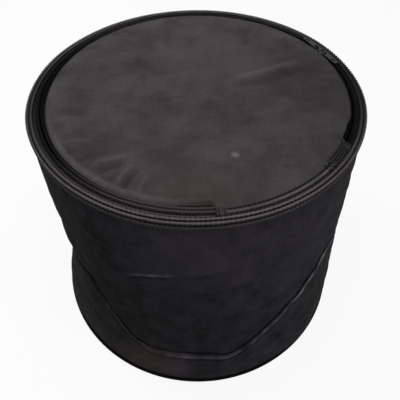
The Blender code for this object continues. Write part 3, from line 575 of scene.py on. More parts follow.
outer_rows = []
for row in range(rows_below):
    heights = base_height + (low_end - base_height) * (row / rows_below)
    outer_rows.append((heights, below_strip(heights), 0))
for faded_mm, sharp_mm, height_share, inward_mm, step_share, wear_and_painted_light in strip_rows:
    rise = (faded_mm + (sharp_mm - faded_mm) * sharp) / 1000
    heights = edge_height + height_share * strip_height + rise * stretch
    inward = edge_inward + step_share * step_inward
    if height_share == 0:
        inward = below_strip(heights)
    if step_share == 1:
        inward = above_strip(heights)
    outer_rows.append((heights, inward + inward_mm / 1000 * sharp, wear_and_painted_light))
for row in range(1, rows_above + 1):
    share = row / rows_above
    share = share + row_crowding * math.sin(2 * math.pi * share)
    heights = high_end + (wall_top - high_end) * share
    outer_rows.append((heights, above_strip(heights), 0))
outer_heights = np.array([heights for heights, _, _ in outer_rows])
outer_inward = np.array([inward for _, inward, _ in outer_rows])
row_wear_and_painted_light = np.array([wear_and_painted_light for _, _, wear_and_painted_light in outer_rows])[:, None]
# Painted light on the crease: its crest is drawn lighter, as wear and painted highlight, and its grooves
# darker, as painted shade
worn = np.where(row_wear_and_painted_light > 0, row_wear_and_painted_light * crest_wear_and_highlight, row_wear_and_painted_light * sharp**2)
rough_points = wall_point(signed_azimuths[None, :], outer_heights, outer_inward)
loose = ease((wall_top - sewn_margin - outer_heights) / loose_below_rim)
loose = loose * ease((outer_heights - base_height) / loose_above_base)
for height, size, offset, flatness in wall_unevenness:
    hills = fold_noise(rough_points * np.array([1, 1, flatness]), size, offset)
    outer_inward = outer_inward + loose * height * hills
bulge_azimuth, bulge_height, bulge_out, bulge_wide, bulge_tall = low_bulge
bulge_across = bell(signed_azimuths[None, :] - bulge_azimuth, bulge_wide)
outer_inward = outer_inward - bulge_out * bulge_across * bell(outer_heights - bulge_height, bulge_tall)
turned_azimuths = np.where(signed_azimuths < back_azimuth, signed_azimuths + 360, signed_azimuths)
for start, end, half_width, height, fold_highlight in wall_folds:
    line = np.array([(end[0] - start[0]) * wall_metres_per_degree, end[1] - start[1]])
    azimuths = signed_azimuths if start[0] < left_azimuth else turned_azimuths
    along_x = (azimuths[None, :] - start[0]) * wall_metres_per_degree + 0 * outer_heights
    along_z = outer_heights - start[1]
    share = np.clip((along_x * line[0] + along_z * line[1]) / (line @ line), 0, 1)
    apart = np.hypot(along_x - share * line[0], along_z - share * line[1])
    taper = ease(np.minimum(share, 1 - share) * fold_taper)
    outer_inward = outer_inward - height * taper * bell(apart, half_width)
    # A painted highlight along the fold's crest
    worn = worn + fold_highlight * taper * bell(apart, fold_highlight_half_width)
wear_and_highlight_places = np.clip(wear_and_highlight_level + wear_and_highlight_change * fold_noise(rough_points, wear_and_highlight_size, wear_and_highlight_offset), *wear_and_highlight_limits)
worn = np.where(worn > 0, worn * wear_and_highlight_places, worn)
outer_points = wall_point(signed_azimuths[None, :], outer_heights, outer_inward)

inner_shares = np.linspace(1, 0, rows_inside)
inner_low_to_high = wall_top - foam_below_rim - base_height
inner_heights = base_height + inner_low_to_high * inner_shares[:, None] + 0 * edge_height[None, :]
inner_inward = np.empty_like(inner_heights)
for column in range(signed_azimuths.size):
    for row in range(rows_inside):
        near = np.abs(outer_heights[:, column] - inner_heights[row, column]) < foam_bridges
        inner_inward[row, column] = outer_inward[near, column].max()
for _ in range(foam_softenings):
    inner_inward[1:-1] = (inner_inward[:-2] + 2 * inner_inward[1:-1] + inner_inward[2:]) / 4
    inner_inward = (np.roll(inner_inward, 2, 1) + 2 * inner_inward + np.roll(inner_inward, -2, 1)) / 4
inner_points = wall_point(signed_azimuths[None, :], inner_heights, inner_inward + wall_padding)
wall_piece = add_swept(
    "wall_padded_cloth", np.concatenate([outer_points, inner_points]), wall_cloth, "bag",
    ["wall_outer_fabric", "wall_foam"], wear_and_painted_light=np.concatenate([worn, np.zeros_like(inner_inward)]),
)


# The rim is the cord of piping sewn into the wall's top seam, with a folded band of the wall's cloth
# below it, held by two rows of stitches, and a flat binding tape inside it that covers the seam.
# All of it lies a little unevenly, as sewn cloth does.
ring_back = 0.0374
rim_height = 0.3340
ring_columns = 900
rim_piping_radius = 0.0017
rim_piping_centre = 0.2183
rim_wobble = 0.0004
stitch_pitch = 0.0052
stitch_length = 0.0036
thread_radius = 0.00075
thread_lift = 0.0001
rim_stitch_length = 0.0030
rim_thread_radius = 0.00085
binding_stitch_length = 0.0042
# Waves of the rim: how many go round, where they start and how high they are, for its radius and height
radius_waves = [(3, 0.6, 0.50), (5, 2.1, 0.35), (11, 4.0, 0.25)]
height_waves = [(4, 1.9, 0.40), (9, 0.3, 0.24)]


def waves(turn, table):
    """The sum of waves that run round a ring."""
    return sum(height * np.sin(count * turn + start) for count, start, height in table)


def ring_points(profile, azimuths, wobble=0.0, centre=(0.0, ring_back)):
    """Turns a section, given as radius and height, about the upright axis of the rim."""
    turn = np.radians(azimuths)[None, :]
    radius = np.array([radius for radius, _ in profile])[:, None] + wobble * waves(turn, radius_waves)
    height = np.array([height for _, height in profile])[:, None] + wobble * waves(turn, height_waves)
    x = centre[0] + radius * np.sin(turn)
    y = centre[1] - radius * np.cos(turn)
    return np.stack([x, y, height + 0 * turn], axis=-1)


def round_section(radius, centre_radius, centre_height, sides=12):
    """The round section of a cord, as radius and height."""
    turns = [2 * math.pi * side / sides for side in range(sides)]
    return [
        (centre_radius + radius * math.cos(turn), centre_height + radius * math.sin(turn)) for turn in turns
    ]


def piece_along():
    """A node group that sets copies of one small mesh along a path and gives them their finish."""
    tree = bpy.data.node_groups.new("pieces_along_a_path", "GeometryNodeTree")
    sockets = {}
    for name, kind in (
        ("Path", "NodeSocketGeometry"), ("Piece", "NodeSocketObject"), ("Spacing", "NodeSocketFloat"),
        ("Unevenness", "NodeSocketFloat"), ("Seed", "NodeSocketInt"), ("Finish", "NodeSocketMaterial"),
    ):
        sockets[name] = tree.interface.new_socket(name, in_out="INPUT", socket_type=kind).identifier
    tree.interface.new_socket("Pieces", in_out="OUTPUT", socket_type="NodeSocketGeometry")
    given = add_node(tree, "NodeGroupInput").outputs
    curve = add_node(tree, "GeometryNodeMeshToCurve", {"Mesh": given["Path"]})
    spacing = {"Curve": curve, "Length": given["Spacing"]}
    spaced = add_node(tree, "GeometryNodeResampleCurve", spacing, mode="LENGTH")
    piece = add_node(tree, "GeometryNodeObjectInfo", {"Object": given["Piece"]})
    tangent = add_node(tree, "GeometryNodeInputTangent")
    facing = add_node(tree, "FunctionNodeAlignRotationToVector", {"Vector": tangent}, axis="X")
    least = add_node(tree, "ShaderNodeMath", {0: given["Unevenness"], 1: -1.0}, operation="MULTIPLY")
    limits = {"Min": least, "Max": given["Unevenness"], "Seed": given["Seed"]}
    swing = add_node(tree, "FunctionNodeRandomValue", limits, data_type="FLOAT")
    swung = [socket for socket in swing.outputs if socket.enabled][0]
    turned = add_node(tree, "ShaderNodeCombineXYZ", {"Z": swung})
    placed = {"Points": spaced, "Instance": piece.outputs["Geometry"], "Rotation": facing}
    copies = add_node(tree, "GeometryNodeInstanceOnPoints", placed)
    uneven = add_node(tree, "GeometryNodeRotateInstances", {"Instances": copies, "Rotation": turned})
    real = add_node(tree, "GeometryNodeRealizeInstances", {"Geometry": uneven})
    finished = add_node(tree, "GeometryNodeSetMaterial", {"Geometry": real, "Material": given["Finish"]})
    add_node(tree, "NodeGroupOutput", {0: finished})
    return tree, sockets


along_tree, along_sockets = piece_along()


def set_along(name, paths, piece_mesh, spacing, finish, unevenness=0.0, seed=1, closed=True):
    """A plain mesh of copies of a small piece along one or more paths."""
    points = []
    edges = []
    for path in paths:
        first = len(points)
        points += [tuple(point) for point in path]
        edges += [(at, at + 1) for at in range(first, len(points) - 1)]
        if closed:
            edges.append((len(points) - 1, first))
    path_mesh = bpy.data.meshes.new(name + "_path")
    path_mesh.from_pydata(points, edges, [])
    path_object = bpy.data.objects.new(name + "_path", path_mesh)
    piece_object = bpy.data.objects.new(name + "_one", piece_mesh)
    bpy.context.scene.collection.objects.link(path_object)
    bpy.context.scene.collection.objects.link(piece_object)
    modifier = path_object.modifiers.new("pieces_along", "NODES")
    modifier.node_group = along_tree
    modifier[along_sockets["Piece"]] = piece_object
    modifier[along_sockets["Spacing"]] = spacing
    modifier[along_sockets["Unevenness"]] = unevenness
    modifier[along_sockets["Seed"]] = seed
    modifier[along_sockets["Finish"]] = finish
    bpy.context.view_layer.update()
    evaluated = path_object.evaluated_get(bpy.context.evaluated_depsgraph_get())
    made = bpy.data.meshes.new_from_object(evaluated)
    made.name = name
    bpy.data.objects.remove(path_object, do_unlink=True)
    bpy.data.objects.remove(piece_object, do_unlink=True)
    return made


def stitch_mesh(length=stitch_length, radius=thread_radius):
    """One stitch of thread: a short rod along X whose ends dip into the cloth."""
    sides = 6
    # Each ring of points: how far along the stitch, the share of its radius, and how far it dips
    rings = [(-0.5, 0.0, 0.6), (-0.36, 0.75, 0.0), (0.0, 1.0, -0.15), (0.36, 0.75, 0.0), (0.5, 0.0, 0.6)]
    points = [(rings[0][0] * length, 0, -radius * rings[0][2])]
    faces = []
    for along, share, dip in rings[1:-1]:
        for side in range(sides):
            turn = 2 * math.pi * side / sides
            points.append(
                (along * length, radius * share * math.cos(turn), radius * (share * math.sin(turn) - dip))
            )
    points.append((rings[-1][0] * length, 0, -radius * rings[-1][2]))
    last = len(points) - 1
    for side in range(sides):
        after = (side + 1) % sides
        faces.append((0, 1 + after, 1 + side))
        faces.append((last, last - sides + side, last - sides + after))
        for ring in range(2):
            low = 1 + ring * sides
            faces.append((low + side, low + after, low + sides + after, low + sides + side))
    mesh = bpy.data.meshes.new("stitch")
    mesh.from_pydata(points, [], faces)
    mesh.shade_smooth()
    return mesh


def thread_material(name, dark, light):
    """Bonded polyester thread: two plies twisted together, slightly glossier than the cloth."""
    material, tree, shader, place = new_surface(name)
    plies = add_node(tree, "ShaderNodeTexNoise", {"Vector": place, "Scale": 900.0, "Detail": 2.0})
    inputs = {"Factor": plies, "A": linear(dark), "B": linear(light)}
    fill_inputs(tree, shader, {
        "Base Color": add_node(tree, "ShaderNodeMix", inputs, data_type="RGBA").outputs["Result"],
        "Normal": add_node(tree, "ShaderNodeBump", {"Height": plies, "Distance": 0.0001}),
        "Roughness": 0.65,
        "Specular IOR Level": 0.08,
    })
    return material


# The band and piping are the wall's polyester, a little worn and warmer where hands and dust reach it,
# which is drawn on their crests together with painted highlight, and black in the seams between the
# parts as painted shade. It is blacker on the right and, less so, on the left, partly its own tone and
# partly painted shade.
rim_tone_and_shade_marks = [
    ((0.240, 0.060, 0.333), 0.240, "#0b0b0b", 0.85),
    ((-0.240, 0.020, 0.333), 0.210, "#131312", 0.65),
]
rim_cloth = woven_cloth(
    "folded_polyester_band", "#1a181a", "#3b373a", 0.85, patch=0.03, patch_share=1.2, worn_and_lit_colour="#7a7374",
    marks=rim_tone_and_shade_marks,
)
piping_cloth = woven_cloth(
    "bias_cut_polyester_piping", "#2b2829", "#565153", 0.85, patch=0.02, patch_share=1.2,
    worn_and_lit_colour="#7a7374", marks=rim_tone_and_shade_marks,
)
rim_thread = thread_material("black_bonded_thread", "#060607", "#121113")
# A paler copy of the black thread, used on two rows of the rim as a painted highlight
highlit_thread = thread_material("faded_bonded_thread", "#2e2c2e", "#4d4a4d")


def add_stitches(
    name, paths, body, length=stitch_length, radius=thread_radius, pitch=stitch_pitch,
    thread=rim_thread, unevenness=0.05, seed=1, closed=False,
):
    """Rows of stitches along paths, as one piece."""
    stitch = stitch_mesh(length, radius)
    add_piece(name, set_along(name, paths, stitch, pitch, thread, unevenness, seed, closed), None, body)


full_round = np.arange(ring_columns) * 360 / ring_columns
band_profile = [
    (0.2177, 0.3298), (0.2184, 0.33025), (0.2189, 0.3296), (0.2191, 0.3286), (0.2188, 0.3278),
    (0.2184, 0.3273), (0.2188, 0.3267), (0.2191, 0.3254), (0.2191, 0.3242), (0.2188, 0.3229),
    (0.2184, 0.3223), (0.2188, 0.3217), (0.2189, 0.3208), (0.2186, 0.3200), (0.2180, 0.3197),
    (0.2177, 0.3200),
]
# Drawn lighter on the band's folds, as wear and painted highlight, and black at its seams, as painted shade
band_wear_and_painted_light = [-1.0, -1.0, -0.8, -0.4, 0.2, 0.5, 0.9, 0.9, 0.4, 0.2, 0.1, 0.3, -0.1, -0.9, -1.0, -1.0]
add_swept(
    "rim_band_cloth", ring_points(band_profile, full_round, rim_wobble), rim_cloth, "bag",
    ["rim_band"], wear_and_painted_light=band_wear_and_painted_light,
)
piping_section = round_section(rim_piping_radius, rim_piping_centre, rim_height - rim_piping_radius)
# Lighter on the piping's top, as wear and painted highlight, and black underneath, as painted shade
piping_wear_and_painted_light = [-0.2, 0.6, 1.1, 1.2, 0.9, 0.1, -0.6, -1.0, -1.0, -1.0, -1.0, -1.0]
add_swept(
    "rim_piping_cord", ring_points(piping_section, full_round, rim_wobble), piping_cloth, "bag",
    ["rim_piping"], wear_and_painted_light=piping_wear_and_painted_light,
)
for row_name, radius, height, thread, seed in (
    ("rim_piping_stitches", 0.2197, 0.3334, highlit_thread, 11),
    ("rim_band_stitches_upper", 0.2190, 0.3280, rim_thread, 1),
    ("rim_band_stitches_lower", 0.2188, 0.3223, highlit_thread, 12),
):
    add_stitches(
        row_name, [ring_points([(radius, height)], full_round, rim_wobble)[0]], "bag",
        rim_stitch_length, rim_thread_radius, thread=thread, seed=seed, closed=True,
    )

# The binding tape is grosgrain, ribbed across. It is folded over the seam of the rim.
# The tape is blacker on the right and on the left too, partly its own tone and partly painted shade
binding_tape = woven_cloth(
    "grosgrain_binding_tape", "#312d2e", "#565051", 0.85, patch=0.02, patch_share=1.2, relief=0.0003,
    worn_and_lit_colour="#7d7677", marks=rim_tone_and_shade_marks,
)
binding_profile = [
    (0.2112, 0.3332), (0.2113, 0.3338), (0.2122, 0.3342), (0.2134, 0.33415), (0.2144, 0.3337),
    (0.2154, 0.3341), (0.2161, 0.3338), (0.2163, 0.3332), (0.2150, 0.3330), (0.2130, 0.3330),
]
# Lighter on the binding's top, as wear and painted highlight, and black at its edges and underneath, as
# painted shade
binding_wear_and_painted_light = [-1.0, -0.6, 0.8, 1.1, 0.9, -0.3, -0.6, -1.0, -1.0, -1.0]
add_swept(
    "rim_binding_tape", ring_points(binding_profile, full_round, rim_wobble), binding_tape, "bag",
    ["rim_binding"], wear_and_painted_light=binding_wear_and_painted_light,
)
binding_rows = [ring_points([(radius, 0.3339)], full_round, rim_wobble)[0] for radius in (0.2116, 0.2153)]
add_stitches(
    "rim_binding_stitches", binding_rows, "bag", binding_stitch_length, seed=2, closed=True
)


# The zip is a heavy coil zip: two knitted polyester tapes, each with a spiral of nylon wire on its
# edge, wound round a cord and sewn down. Zipped shut, the two spirals stand side by side.
zip_first = 60.1
zip_last = 365.9
tape_low = 0.3320
tape_high = 0.3327
coil_middle_height = 0.3343
coil_pitch = 0.0017
coil_wire_radius = 0.00036
coil_half_width = 0.00125
coil_half_height = 0.0010
coil_slant_share = 0.22
zip_core_radius = 0.0008
zip_stitch_pitch = 0.0034
zip_unevenness = 0.04
# Each half of the zip: inner and outer radius of its tape, radius of its coil and of its rows of
# stitches, and the body that it rides on
zip_halves = {
    "body": (0.2034, 0.2135, 0.2047, (0.2067, 0.2080), "bag"),
    "lid": (0.1849, 0.2014, 0.2001, (0.1981, 0.1950), "lid"),
}


def coil_turn_mesh():
    """One turn of the spiral: an oval loop of nylon wire across the tape, a little askew."""
    around = 10
    sides = 4
    points = []
    faces = []
    for step in range(around):
        turn = 2 * math.pi * step / around
        out = Vector((coil_slant_share * coil_pitch * math.cos(turn), coil_half_width * math.cos(turn), 0))
        up = Vector((0, 0, coil_half_height * math.sin(turn)))
        normal = Vector((0, math.cos(turn) / coil_half_width, math.sin(turn) / coil_half_height)).normalized()
        for side in range(sides):
            roll = 2 * math.pi * side / sides
            points.append(
                out + up + normal * coil_wire_radius * math.cos(roll)
                + Vector((coil_wire_radius * math.sin(roll), 0, 0))
            )
    for step in range(around):
        here, there = step * sides, (step + 1) % around * sides
        for side in range(sides):
            after = (side + 1) % sides
            faces.append((here + side, there + side, there + after, here + after))
    mesh = bpy.data.meshes.new("coil_turn")
    mesh.from_pydata(points, [], faces)
    mesh.shade_smooth()
    return mesh


# Drawn nylon wire: smooth but dulled by use, and dusty at the front.
zip_dust = [((-0.020, -0.175, 0.334), 0.160, "#5a5354", 1.2)]
nylon_coil, nylon_tree, nylon_shader, nylon_place = new_surface("drawn_nylon_coil")
nylon_inputs = {"Vector": nylon_place, "Scale": 60.0, "Detail": 3.0}
nylon_spread = add_node(nylon_tree, "ShaderNodeTexNoise", nylon_inputs)
nylon_colours = {"Factor": nylon_spread, "A": linear("#060607"), "B": linear("#151516")}
nylon_black = add_node(nylon_tree, "ShaderNodeMix", nylon_colours, data_type="RGBA").outputs["Result"]
fill_inputs(nylon_tree, nylon_shader, {
    "Base Color": marked(nylon_tree, nylon_black, nylon_place, zip_dust, nylon_spread),
    "Roughness": 0.7,
    "Specular IOR Level": 0.06,
    "IOR": 1.53,
})
# The tape is black on the right and dark on the left as painted shade, where the lid's edge shades it, and
# dusty at the front
zip_shade_and_dust_marks = [
    ((0.215, 0.020, 0.333), 0.250, "#030303", 1.6),
    ((-0.230, 0.050, 0.333), 0.180, "#0d0d0d", 1.0),
    ((-0.030, -0.175, 0.333), 0.140, "#5d5657", 0.9),
]
zip_cloth = woven_cloth(
    "knitted_zip_tape", "#2a2728", "#504b4c", 0.85, patch=0.03, relief=0.0003, marks=zip_shade_and_dust_marks
)

zip_azimuths = np.linspace(zip_first, zip_last, 760)
for side, (inner, outer, coil_middle, stitch_rows, body) in zip_halves.items():
    tape_profile = [(inner, tape_low), (inner, tape_high), (outer, tape_high), (outer, tape_low)]
    add_swept(
        "zip_tape_" + side + "_cloth", ring_points(tape_profile, zip_azimuths), zip_cloth, body,
        ["zip_tape_" + side], closed_round=False,
    )
    core_section = round_section(zip_core_radius, coil_middle, coil_middle_height, 8)
    add_swept(
        "zip_core_" + side, ring_points(core_section, zip_azimuths), zip_cloth, body,
        closed_round=False,
    )
    coil_name = "zip_coil_" + side + "_turns"
    coil_line = ring_points([(coil_middle, coil_middle_height)], zip_azimuths)[0]
    coil = set_along(coil_name, [coil_line], coil_turn_mesh(), coil_pitch, nylon_coil, closed=False)
    add_piece(coil_name, coil, None, body, ["zip_coil_" + side])
    add_stitches(
        "zip_stitches_" + side,
        [ring_points([(radius, tape_high + thread_lift)], zip_azimuths)[0] for radius in stitch_rows],
        body, pitch=zip_stitch_pitch, unevenness=zip_unevenness, seed=3,
    )


# The lid is a thin foam pad under charcoal polyester, which time and dust have greyed. Its colour is
# also painted light: it is drawn as a lit, paler copy of the wall's black cloth.
# It is sewn to the zip tape round most of its edge. Over the hinge it runs on without a cut and is sewn
# down flat to the rim. The cloth is a little too large for its foam, so it puckers along the seam.
lid_middle = (0.0021786, 0.0340453)
lid_radius = 0.1962
lid_top = 0.3402
lid_underside = 0.3330
lid_roll = 0.0040
hinge_first = 6.0
hinge_last = 60.0
hinge_edge_radius = 0.2107
zip_clear_radius = 0.1966
slider_from_end = 4.7
hinge_edge_height = 0.3344
hinge_flat = 0.0085
hinge_rise = 0.0200
hinge_row_radii = [0.2035, 0.2096]
near_zip_end = 48.0
near_seam_radius = 0.2066
lid_rings = 48
side_rows = 3
swell_limit = 0.0045
seam_give = 0.2
seam_reach = 0.035
lid_sag = 0.0035
hinge_blur = 1.6
# Beside each end of the zip the lid's edge is drawn in, so that a slider run up to it stays clear
drawn_in_arc = 9.0
drawn_in_blur = 4.0
# Rows of points near the edge, in millimetres from it. Further in than the last, they are even.
edge_rows_mm = (0.0, 0.9, 2.0, 3.3, 4.9, 6.9)
even_rows_from = 0.0100
side_bulge = 0.0006
held_hinge_share = 0.4
swelling_frames = 20


def outward_way(azimuths):
    """Level directions that point outward at azimuths."""
    return np.stack([np.sin(np.radians(azimuths)), -np.cos(np.radians(azimuths))], axis=-1)


def azimuth_of(level):
    """The azimuth of points about the origin."""
    return np.degrees(np.arctan2(level[..., 0], -level[..., 1]))


def raised(level, heights):
    """Level points at heights."""
    return np.concatenate([level, (heights + 0 * level[..., 0])[..., None]], axis=-1)


def square_on_disc(rings):
    """A square grid of points spread evenly over a disc of radius 1, as polar share and azimuth."""
    steps = np.arange(-rings, rings + 1) / rings
    across, along = np.meshgrid(steps, steps, indexing="ij")
    wide = np.abs(across) >= np.abs(along)
    safe_across = np.where(across == 0, 1, across)
    safe_along = np.where(along == 0, 1, along)
    turn = np.where(
        wide, math.pi / 4 * along / safe_across, math.pi / 2 - math.pi / 4 * across / safe_along
    )
    reach = np.where(wide, across, along)
    x, y = reach * np.cos(turn), reach * np.sin(turn)
    return np.hypot(x, y), np.degrees(np.arctan2(x, -y))


def hinge_share(azimuths):
    """1 where the edge of the lid is the sewn hinge, 0 where it meets the zip. About the rim's centre."""
    past_first = ease((azimuths - hinge_first + hinge_blur / 2) / hinge_blur)
    return past_first * ease((hinge_last + hinge_blur / 2 - azimuths) / hinge_blur)


def lid_edge(azimuths):
    """Radius of the lid's edge about the lid's middle, and how far it is hinge."""
    way = outward_way(azimuths)
    offset = np.array([lid_middle[0], lid_middle[1] - ring_back])
    along = way @ offset
    out = -along + np.sqrt(along**2 - offset @ offset + hinge_edge_radius**2)
    ring_azimuths = azimuth_of(offset + way * out[..., None])
    share = hinge_share(ring_azimuths)
    clear = -along + np.sqrt(along**2 - offset @ offset + zip_clear_radius**2)
    beside_end = np.zeros_like(out)
    for middle in (hinge_first - slider_from_end, hinge_last + slider_from_end):
        drawn_in = ease((drawn_in_arc - np.abs(ring_azimuths - middle)) / drawn_in_blur)
        beside_end = np.maximum(beside_end, drawn_in)
    zip_side = lid_radius + np.minimum(clear - lid_radius, 0) * beside_end
    return zip_side + (out - zip_side) * share, share


ring_shares, ring_azimuths = square_on_disc(lid_rings)
outer_shares = np.array(edge_rows_mm) / 1000 / lid_radius
even_shares = np.linspace(0, 1 - even_rows_from / lid_radius, lid_rings + 1 - outer_shares.size)
spaced_shares = np.concatenate([even_shares, 1 - outer_shares[::-1]])
ring_shares = np.interp(ring_shares, np.arange(lid_rings + 1) / lid_rings, spaced_shares)
edge_radius, edge_share = lid_edge(ring_azimuths)
from_edge = (1 - ring_shares) * edge_radius
rolled = lid_roll - np.clip(lid_roll - from_edge, 0, lid_roll)
zip_side_top = lid_top - lid_roll + np.sqrt(np.maximum(lid_roll**2 - (lid_roll - rolled) ** 2, 0))
hinge_slope = ease((from_edge - hinge_flat) / hinge_rise)
hinge_side_top = hinge_edge_height + (lid_top - hinge_edge_height) * hinge_slope
grid_top = zip_side_top + (hinge_side_top - zip_side_top) * edge_share
way = outward_way(ring_azimuths)
grid_flat = np.array(lid_middle) + way * (ring_shares * edge_radius)[..., None]
grid_size = 2 * lid_rings + 1
top_points = raised(grid_flat, grid_top).reshape(-1, 3)
under_points = raised(grid_flat, lid_underside).reshape(-1, 3)
border = [(0, at) for at in range(grid_size - 1)]
border += [(at, grid_size - 1) for at in range(grid_size - 1)]
border += [(grid_size - 1, at) for at in range(grid_size - 1, 0, -1)]
border += [(at, 0) for at in range(grid_size - 1, 0, -1)]
border = np.array([row * grid_size + column for row, column in border])


def padded_disc(top, under, rows, middle=lid_middle):
    """A closed pad from a grid of points on top, one below, and rows of points down its side."""
    points = [top, under]
    loops = [border]
    count = len(top) + len(under)
    bulge = np.array([*middle, 0.0])
    for row in range(1, rows):
        share = row / rows
        between = top[border] * (1 - share) + under[border] * share
        outward = (between - bulge) * np.array([1, 1, 0])
        outward = outward / np.linalg.norm(outward, axis=1)[:, None]
        points.append(between + outward * side_bulge * math.sin(math.pi * share))
        loops.append(np.arange(count, count + border.size))
        count += border.size
    loops.append(border + len(top))
    faces = []
    for row in range(grid_size - 1):
        for column in range(grid_size - 1):
            at = row * grid_size + column
            faces.append((at, at + grid_size, at + grid_size + 1, at + 1))
            low = at + len(top)
            faces.append((low, low + 1, low + grid_size + 1, low + grid_size))
    for upper, lower in zip(loops, loops[1:]):
        for at in range(border.size):
            after = (at + 1) % border.size
            faces.append((upper[at], upper[after], lower[after], lower[at]))
    return np.concatenate(points), [tuple(int(corner) for corner in face) for face in faces]


def finer_mesh(piece, kind):
    """The mesh of a piece with each face cut in four, for cloth that swells or bends."""
    finer = piece.modifiers.new("finer", "SUBSURF")
    finer.subdivision_type = kind
    finer.levels = 1
    finer.render_levels = 1
    bpy.context.view_layer.update()
    mesh = bpy.data.meshes.new_from_object(piece.evaluated_get(bpy.context.evaluated_depsgraph_get()))
    mesh.name = piece.name
    bpy.data.objects.remove(piece, do_unlink=True)
    return mesh


pad_points, pad_faces = padded_disc(top_points, under_points, side_rows)
pad_mesh = bpy.data.meshes.new("lid_padded_cloth")
pad_mesh.from_pydata(pad_points.tolist(), [], pad_faces)
lid_pad = bpy.data.objects.new("lid_padded_cloth", pad_mesh)
bpy.context.scene.collection.objects.link(lid_pad)

# The pad is swollen by simulation: its cloth grows a little and is pressed out from inside.
# What is sewn stays where it is: the underside, and the edge along the hinge.
flat_edge = (from_edge.reshape(-1) < hinge_flat) & (edge_share.reshape(-1) > held_hinge_share)
held = [int(at) for at in np.flatnonzero(flat_edge)]
held += list(range(top_points.shape[0], len(pad_points)))
sewn = lid_pad.vertex_groups.new(name="sewn")
sewn.add(held, 1.0, "REPLACE")
swelling = lid_pad.modifiers.new("swelling", "CLOTH")
swelling.settings.quality = 5
swelling.settings.mass = 0.3
swelling.settings.effector_weights.gravity = 0
swelling.settings.use_pressure = True
swelling.settings.uniform_pressure_force = 4.0
swelling.settings.shrink_min = -0.012
swelling.settings.tension_stiffness = 25
swelling.settings.compression_stiffness = 25
swelling.settings.bending_stiffness = 0.6
swelling.settings.vertex_group_mass = "sewn"
swelling.settings.pin_stiffness = 1.0
swelling.point_cache.frame_start = 1
swelling.point_cache.frame_end = 24
for step in range(1, swelling_frames + 1):
    bpy.context.scene.frame_set(step)
evaluated = lid_pad.evaluated_get(bpy.context.evaluated_depsgraph_get())
swollen = np.empty(len(pad_points) * 3, np.float32)
evaluated.data.vertices.foreach_get("co", swollen)
lid_pad.modifiers.remove(swelling)
bpy.context.scene.frame_set(1)
moved = swollen.reshape(-1, 3) - pad_points
far = np.linalg.norm(moved, axis=1)
moved *= np.minimum(1, swell_limit / np.maximum(far, 1e-9))[:, None]
# The seam at the edge holds the cloth back
give = np.full(len(pad_points), seam_give)
give[:top_points.shape[0]] += (1 - seam_give) * ease(from_edge.reshape(-1) / seam_reach)
moved *= give[:, None]
pad_points = pad_points + moved

pad_mesh.vertices.foreach_set("co", pad_points.astype(np.float32).ravel())
pad_mesh.update()
fine_mesh = finer_mesh(lid_pad, "CATMULL_CLARK")

# Ridges and creases that the photograph shows: from, to, half width, height, and the painted highlight
# on a ridge, or, below 0, the painted shade in a crease
lid_folds = [
    ((0.036, 0.044), (0.148, 0.090), 0.0085, 0.0055, 0.40),
    ((0.044, 0.030), (0.150, 0.070), 0.0085, -0.0028, -0.10),
    ((0.040, 0.028), (0.120, 0.034), 0.0120, 0.0012, 0.0),
    ((-0.046, 0.215), (-0.038, 0.110), 0.0060, -0.0030, -0.12),
    ((0.036, 0.222), (0.030, 0.180), 0.0050, -0.0030, -0.15),
    ((0.084, 0.195), (0.066, 0.120), 0.0080, -0.0026, -0.10),
    ((-0.176, -0.012), (-0.125, -0.028), 0.0060, -0.0030, -0.10),
    ((-0.165, -0.062), (-0.120, -0.066), 0.0060, -0.0026, -0.10),
    ((-0.118, -0.112), (-0.070, -0.094), 0.0050, 0.0034, 0.30),
    ((-0.112, -0.122), (-0.076, -0.108), 0.0035, -0.0026, -0.25),
    ((-0.090, -0.146), (-0.068, -0.108), 0.0045, 0.0032, 0.30),
    ((-0.082, -0.148), (-0.060, -0.116), 0.0035, -0.0026, -0.25),
    ((-0.134, -0.100), (-0.090, -0.088), 0.0055, -0.0028, -0.15),
    ((-0.064, -0.158), (-0.050, -0.120), 0.0040, 0.0024, 0.25),
    ((0.170, -0.010), (0.120, -0.020), 0.0080, -0.0024, -0.10),
]
# Heights above the underside at which the lid's side turns to its top, and over which it does
side_to_top = (0.0010, 0.0015)
seam_to_side = (0.0003, 0.0006)
fold_end_taper = 3
fold_end_share = 0.15
fold_light_share = 0.7
free_width = 0.012
# Unevenness of the whole lid: height, width of its hills and place in the noise
lid_unevenness = [(0.0026, 0.075, 11.3), (0.0007, 0.022, 14.9)]
pucker_height = 0.0022
pucker_size = 0.10
pucker_offset = 5.5
pucker_reach = 0.25
pucker_from = 0.72
pucker_blur = 0.2
sag_power = 1.5
# A lighter band along the lid's front edge, partly wear and partly painted highlight where the rolled edge
# catches the light: its strength, width and blur, and the azimuths and blurs of its ends
front_wear_and_highlight = 0.55
front_highlight_width = 0.0085
front_highlight_blur = 0.0075
front_highlight_azimuths = (-85, 4)
front_highlight_blurs = (40, 16)
# The seam that runs inside the lid's edge: how far in, its half width, its depth, and the share of
# that depth that it has where the lid meets the zip
edge_seam = (0.0058, 0.0010, 0.0008)
edge_seam_share = 0.6
# The hinge's seams, drawn darker as painted shade: half width of each, how deep they lie, and the cloth
# between them that is drawn lighter, as a radius, a half width and how much lighter it is
hinge_seam_width = 0.0011
near_seam_width = 0.0012
inner_seam_radius = 0.1998
inner_seam_width = 0.0015
hinge_seam_depth = 0.0006
hinge_seam_blur = 2.0
lighter_between = (0.2066, 0.0016, 0.5)

